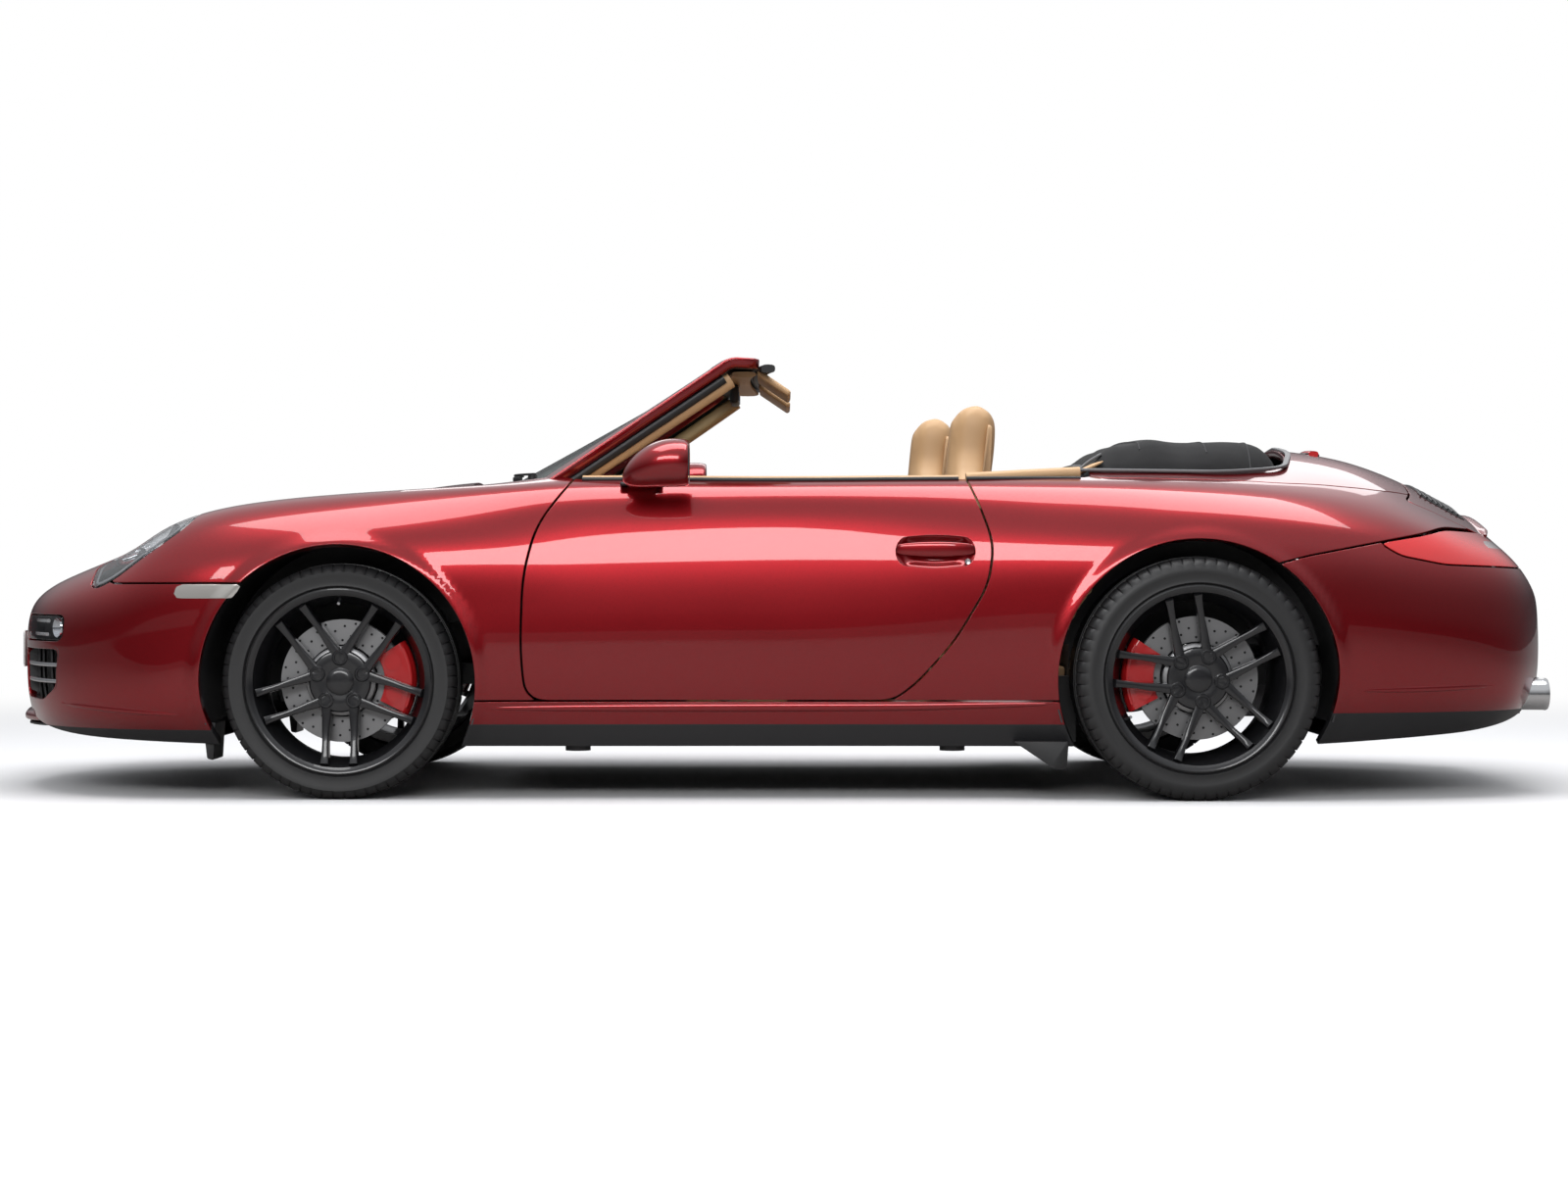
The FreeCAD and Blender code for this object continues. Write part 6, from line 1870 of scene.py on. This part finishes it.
def seams_over(shape, table, normal, along, across, low=0.06, high=0.94):
    """Cords along a pad at shares of its half width, and across it at (share of length, reach)."""
    tree, count = tree_of(shape), len(table)
    rows, cords = range(int(low * count), int(high * count)), []
    for u in along:
        for side in (-1, 1):
            points = [(table[i, 0], side * u * table[i, 2], table[i, 1]) for i in rows]
            cords.append(seam_on(tree, points, [(normal[i, 0], 0, normal[i, 1]) for i in rows]))
    for share, reach in across:
        i = int(share * (count - 1))
        points = [(table[i, 0], y, table[i, 1]) for y in np.linspace(-reach, reach, 25) * table[i, 2]]
        cords.append(seam_on(tree, points, [(normal[i, 0], 0, normal[i, 1])] * 25))
    return cords_along([c for c in cords if len(c) > 3], 2.0, SEAM)


SEAT_Y, LEFT_SHIFT = 365, 80
CLOTH_FRAMES = 20


def seat_pads():
    """Cushion and back with headrest of one seat, each simulated once, and their seams."""
    bolster = lambda u, v: 24 * np.clip((u - 0.56) / 0.3, 0, 1) ** 1.5 - 5 * (u < 0.5)
    cushion, *cushion_way = pad_form([(-72, 372, 205, 40), (-20, 384, 214, 46), (120, 376, 216, 46),
                                      (250, 368, 212, 46), (318, 366, 206, 42)], bolster)
    wings = lambda u, v: (30 * np.clip((u - 0.54) / 0.3, 0, 1) ** 1.5 * np.clip((0.66 - v) / 0.2, 0, 1)
                          * np.clip(v / 0.12, 0, 1))
    back, *back_way = pad_form([
        (366, 408, 204, 44), (386, 500, 212, 46), (420, 640, 216, 46), (446, 760, 212, 48),
        (460, 860, 188, 52), (467, 920, 142, 54), (473, 975, 118, 55), (480, 1050, 114, 54),
        (488, 1114, 98, 44)], wings, 56, 0.045)
    cushion = filled_out(cushion, 13, 12)
    back = filled_out(back, 13, 11)
    seams = seams_over(cushion, *cushion_way, (0.56,), ((0.3, 0.56), (0.5, 0.56), (0.7, 0.56)))
    back_seams = seams_over(back, *back_way, (0.54,), (
        (0.14, 0.54), (0.26, 0.54), (0.38, 0.54), (0.5, 0.54), (0.64, 0.9)), 0.05, 0.62)
    return cushion, back, joined(seams, back_seams)


def seats():
    cushion, back, seams = seat_pads()
    outline = softened([(402, 330), (432, 330), (515, 760), (538, 930), (544, 1040), (530, 1048),
                        (518, 940), (494, 780), (420, 420)], 14)
    points, faces = extruded(outline, -196, 196, 16)
    points[:, 1] *= 1 - 0.42 * eased((points[:, 2] - 800) / 160)
    shell = (points - (14, 0, 0), faces)
    base = [block((-30, -170, 292), (330, 170, 330), 8), block((-40, -196, 300), (360, -182, 352), 5),
            block((-40, 182, 300), (360, 196, 352), 5), block((20, -150, 200), (330, -118, 296), 3),
            block((20, 118, 200), (330, 150, 296), 3), block((0, -158, FLOOR_Z + 1), (350, -112, 202), 3),
            block((0, 112, FLOOR_Z + 1), (350, 158, 202), 3)]
    for (side, word), shift in zip(SIDES, (LEFT_SHIFT, 0)):
        place = (shift, side * SEAT_Y, 0)
        first = solid("seat_cushion_" + word, *moved(cushion, place), LEATHER, nodes="seats",
                      slot="cabin_leather", sharp=None)
        rest = solid("seat_back_" + word, *moved(back, place), LEATHER, nodes="seats", sharp=None)
        solid("seat_seams_" + word, *moved(seams, place), SEAM)
        solid("seat_shell_" + word, *moved(shell, place), DASH, sharp=45)
        solid("seat_base_" + word, *moved(joined(*base), place), TRIM)


def rear_seats():
    soft = lambda u, v: 7 * np.clip((u - 0.5) / 0.3, 0, 1)
    low, *low_way = pad_form([(652, 384, 222, 26), (700, 388, 228, 28), (752, 392, 226, 26),
                              (778, 394, 220, 22)], soft, end=0.12)
    tall, *tall_way = pad_form([(752, 430, 222, 24), (765, 540, 228, 26), (778, 680, 224, 26),
                                (786, 782, 206, 22)], soft, end=0.08)
    low, tall = filled_out(low, 14, 8), filled_out(tall, 14, 8)
    cords = joined(seams_over(low, *low_way, (0.6,), ()),
                   seams_over(tall, *tall_way, (0.6,), ((0.35, 0.6), (0.65, 0.6))))
    base = block((648, -228, FLOOR_Z + 4), (812, 228, 356), 10)
    for side, word in SIDES:
        place = (0, side * 310, 0)
        for name, form in (("cushion", low), ("back", tall)):
            pad = solid("rear_seat_%s_%s" % (name, word), *moved(form, place), LEATHER, nodes="rear_seats",
                        slot="cabin_leather", sharp=None)
        solid("rear_seat_seams_" + word, *moved(cords, place), SEAM)
        solid("rear_seat_base_" + word, *moved(base, place), DASH)


# Folded soft top: length and height along the middle
TOP_LINE = [(835, 872), (850, 905), (900, 952), (950, 990), (1060, 999), (1180, 1000), (1290, 990),
            (1400, 988), (1475, 972)]


def top_cover():
    """Folded cloth as a closed form: rounded at its outline, sagging, with folds."""
    outline = softened([(838, 608), (1245, 606), (1425, 515), (1470, 300), (1478, -300), (838, -300)], 70)
    x, y = [each.ravel() for each in np.meshgrid(np.linspace(836, 1480, 110), np.linspace(-612, 612, 150),
                                                 indexing="ij")]
    depth = depth_in(np.stack([x, np.abs(y)], axis=1), outline)
    height = np.interp(x, *np.array(TOP_LINE).T)
    fall = np.clip(depth / 105, 0, 1)
    round_edge = (1 - (1 - fall) ** 2.3) ** (1 / 2.3)
    sag = 13 * (np.abs(y) / 600) ** 2
    hump = lambda value, middle, wide: np.exp(-((value - middle) / wide) ** 2)
    folds = (9.0 * np.sin((x - 1010 + 16 * np.cos(y / 210)) / 30) * hump(x, 1000, 90)
             + 6.5 * np.sin(x / 46 + y / 330 + 0.8 * np.sin(y / 150)) * hump(x, 1260, 170)
             + 4.5 * np.sin(y / 62 + x / 90) * hump(depth, 60, 50))
    top = 862 + (height - sag - 862 + folds * round_edge) * round_edge
    sheet = facing(np.stack([x, y, top], axis=1).reshape(110, 150, 3), 2)
    return closed_below(trimmed(sheet, lambda s: depth_in(flat_of(s, 0, 1), outline)))


def soft_top():
    puffed = filled_out(top_cover(), 16, 7, 2.0)
    folded = solid("soft_top_folded", *puffed, CLOTH, nodes="soft_top", slot="top_cloth", sharp=None)
    tree = tree_of(puffed)
    cords = []
    for x_at, bend in ((1186, 24), (1010, 10), (1330, 8)):
        points = [(x_at + bend * (v / 560) ** 2, v, 960) for v in np.linspace(-560, 560, 60)]
        cords.append(seam_on(tree, points, [(0, 0, 1)] * 60))
    solid("soft_top_seams", *cords_along(cords, 2.4, CLOTH_SEAM), CLOTH_SEAM)
    line = softened([(842, 622), (1250, 622), (1436, 526), (1486, 300), (1492, 0)], 60, False)
    half = np.array([(x, y, top_point(x, y, 5)[2] + 3) for x, y in line])
    run = np.concatenate([[0], np.cumsum(np.linalg.norm(np.diff(half[:, :2], axis=0), axis=1))])
    at = np.linspace(0, run[-1], 70)
    half = np.stack([np.interp(at, run, half[:, k]) for k in range(3)], axis=1)
    half[:, 2] = averaged(half[:, 2], 4)
    whole_band = np.vstack([half, (half * [1, -1, 1])[::-1][1:]])
    solid("soft_top_band", *swept(whole_band, oval(17, 10, 3, 12)), GREY)
    thin_out = (1 - 0.75 * np.abs(np.linspace(-1, 1, 20)) ** 3)[:, None] * [1, 1]
    trim = swept(curve([(808, 600, 880), (850, 592, 906), (914, 578, 936)], 20), oval(15, 34, 2.4, 14),
                 (0, 1, 0), scale=thin_out)
    solid("soft_top_side_trims", *both(trim), LEATHER)
    link = swept(curve([(838, 560, 905), (878, 552, 938), (912, 540, 958)], 12), oval(8, 16, 3, 12),
                 (0, 1, 0))
    solid("soft_top_links", *both(link), GREY)
    hoop = curve([(842, -560, 880), (850, -520, 915), (856, -300, 925), (858, 0, 928), (856, 300, 925),
                  (850, 520, 915), (842, 560, 880)], 60)
    solid("soft_top_front_bow", *swept(hoop, oval(34, 22, 3, 16)), TRIM)
    shelf = softened([(818, 800), (818, 868), (846, 872), (846, 800)], 6)
    solid("rear_wall_top", *extruded(shelf, -600, 600, 6), LEATHER)


seats()
rear_seats()
soft_top()


# Finish of the construction's own pieces that stay in view
NODE_FINISH = {
    "floor_pan": UNDER, "engine": METAL, "exhaust": STEEL, "front_axle": AXLE, "rear_axle": AXLE,
    "knuckle_left": AXLE, "knuckle_right": AXLE, "number_plates": WHITE, "soft_top": CLOTH,
    "dashboard": DASH, "seats": LEATHER, "rear_seats": LEATHER, "steering_wheel": GRIP,
    "headlamps": LENS, "tail_lamps": RED_LENS, "mirror_left": PAINT, "mirror_right": PAINT,
}


def finish_nodes():
    for name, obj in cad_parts.items():
        obj.data.materials.clear()
        obj.data.materials.append(NODE_FINISH.get(name, TRIM))


# Floor, light and camera
FLOOR_TONE, FLOOR_SHADE = (0.8, 0.8, 0.81), (0.3, 0.29, 0.28)


def floor_material():
    """Pale floor that goes over into the white background away from the car."""
    pale = material("pale_floor", FLOOR_TONE, 0.75)
    tree = pale.node_tree
    shader = tree.nodes["Principled BSDF"]
    seen = node(tree, "ShaderNodeLightPath").outputs["Is Camera Ray"]
    tone = node(tree, "ShaderNodeMix", {"Factor": seen, "A": (*FLOOR_SHADE, 1), "B": (*FLOOR_TONE, 1)},
                data_type="RGBA")
    connect(tree, shader, {"Base Color": tone.outputs["Result"]})
    place = node(tree, "ShaderNodeTexCoord").outputs["Object"]
    length = node(tree, "ShaderNodeVectorMath", {0: place}, operation="LENGTH")
    far = node(tree, "ShaderNodeMapRange", {"Value": length.outputs["Value"], "From Min": 2.6,
                                            "From Max": 8.0}, interpolation_type="SMOOTHERSTEP")
    fade = node(tree, "ShaderNodeMath", {0: far.outputs["Result"], 1: seen}, operation="MULTIPLY")
    mix = node(tree, "ShaderNodeMixShader", {"Fac": fade.outputs[0], 1: shader.outputs[0],
                                             2: node(tree, "ShaderNodeEmission").outputs[0]})
    connect(tree, tree.nodes["Material Output"], {"Surface": mix.outputs[0]})
    return pale


def studio_world():
    """Lit by a pale sky over a dark horizon, white where the camera sees it."""
    world = bpy.data.worlds.new("studio")
    bpy.context.scene.world = world
    world.use_nodes = True
    tree = world.node_tree
    place = node(tree, "ShaderNodeTexCoord").outputs["Generated"]
    apart = node(tree, "ShaderNodeSeparateXYZ", {"Vector": place})
    half = node(tree, "ShaderNodeMapRange", {"From Min": -1, "Value": apart.outputs["Z"]})
    ramp = node(tree, "ShaderNodeValToRGB", {"Fac": half.outputs["Result"]})
    for element, position, tone in zip(ramp.color_ramp.elements, (0.52, 0.8),
                                       ((0.06, 0.06, 0.065, 1), (0.95, 0.97, 1.0, 1))):
        element.position, element.color = position, tone
    sky = tree.nodes["Background"]
    connect(tree, sky, {"Color": ramp.outputs["Color"], "Strength": 0.75})
    plain = node(tree, "ShaderNodeBackground", {"Color": (1, 1, 1, 1)})
    seen = node(tree, "ShaderNodeLightPath").outputs["Is Camera Ray"]
    mix = node(tree, "ShaderNodeMixShader", {"Fac": seen, 1: sky.outputs["Background"],
                                             2: plain.outputs["Background"]})
    connect(tree, tree.nodes["World Output"], {"Surface": mix.outputs[0]})


def studio():
    ground = bpy.data.meshes.new("ground")
    reach = 60.0
    ground.from_pydata([(-reach, -reach, 0), (reach, -reach, 0), (reach, reach, 0), (-reach, reach, 0)],
                       [], [(0, 1, 2, 3)])
    floor = linked("ground", ground)
    ground.materials.append(floor_material())
    for name, place, aim, width, height, power in (
            ("overhead", (0.2, -0.6, 5.2), (0, 0, 0), 6.5, 3.2, 330),
            ("side_panel", (-1.5, -8.0, 3.4), (0, 0, 0.6), 6.0, 1.6, 260),
            ("back_panel", (1.0, 7.5, 4.6), (0, 0, 0.6), 7.0, 1.6, 60)):
        light = bpy.data.lights.new(name, "AREA")
        light.shape, light.size, light.size_y, light.energy = "RECTANGLE", width, height, power
        lamp = linked(name, light)
        lamp.location = place
        lamp.rotation_euler = (Vector(place) - Vector(aim)).to_track_quat("Z", "Y").to_euler()
    studio_world()
    camera = bpy.data.cameras.new("camera")
    camera.sensor_width, camera.lens, camera.shift_y = 36, 69.66, -17 / 1600
    viewer = linked("camera", camera)
    viewer.location = (0.0125, -9.16, 0.62)
    viewer.rotation_euler = (math.radians(90), 0, 0)
    bpy.context.scene.camera = viewer
    bpy.context.scene.view_settings.view_transform = "Standard"


finish_nodes()
studio()
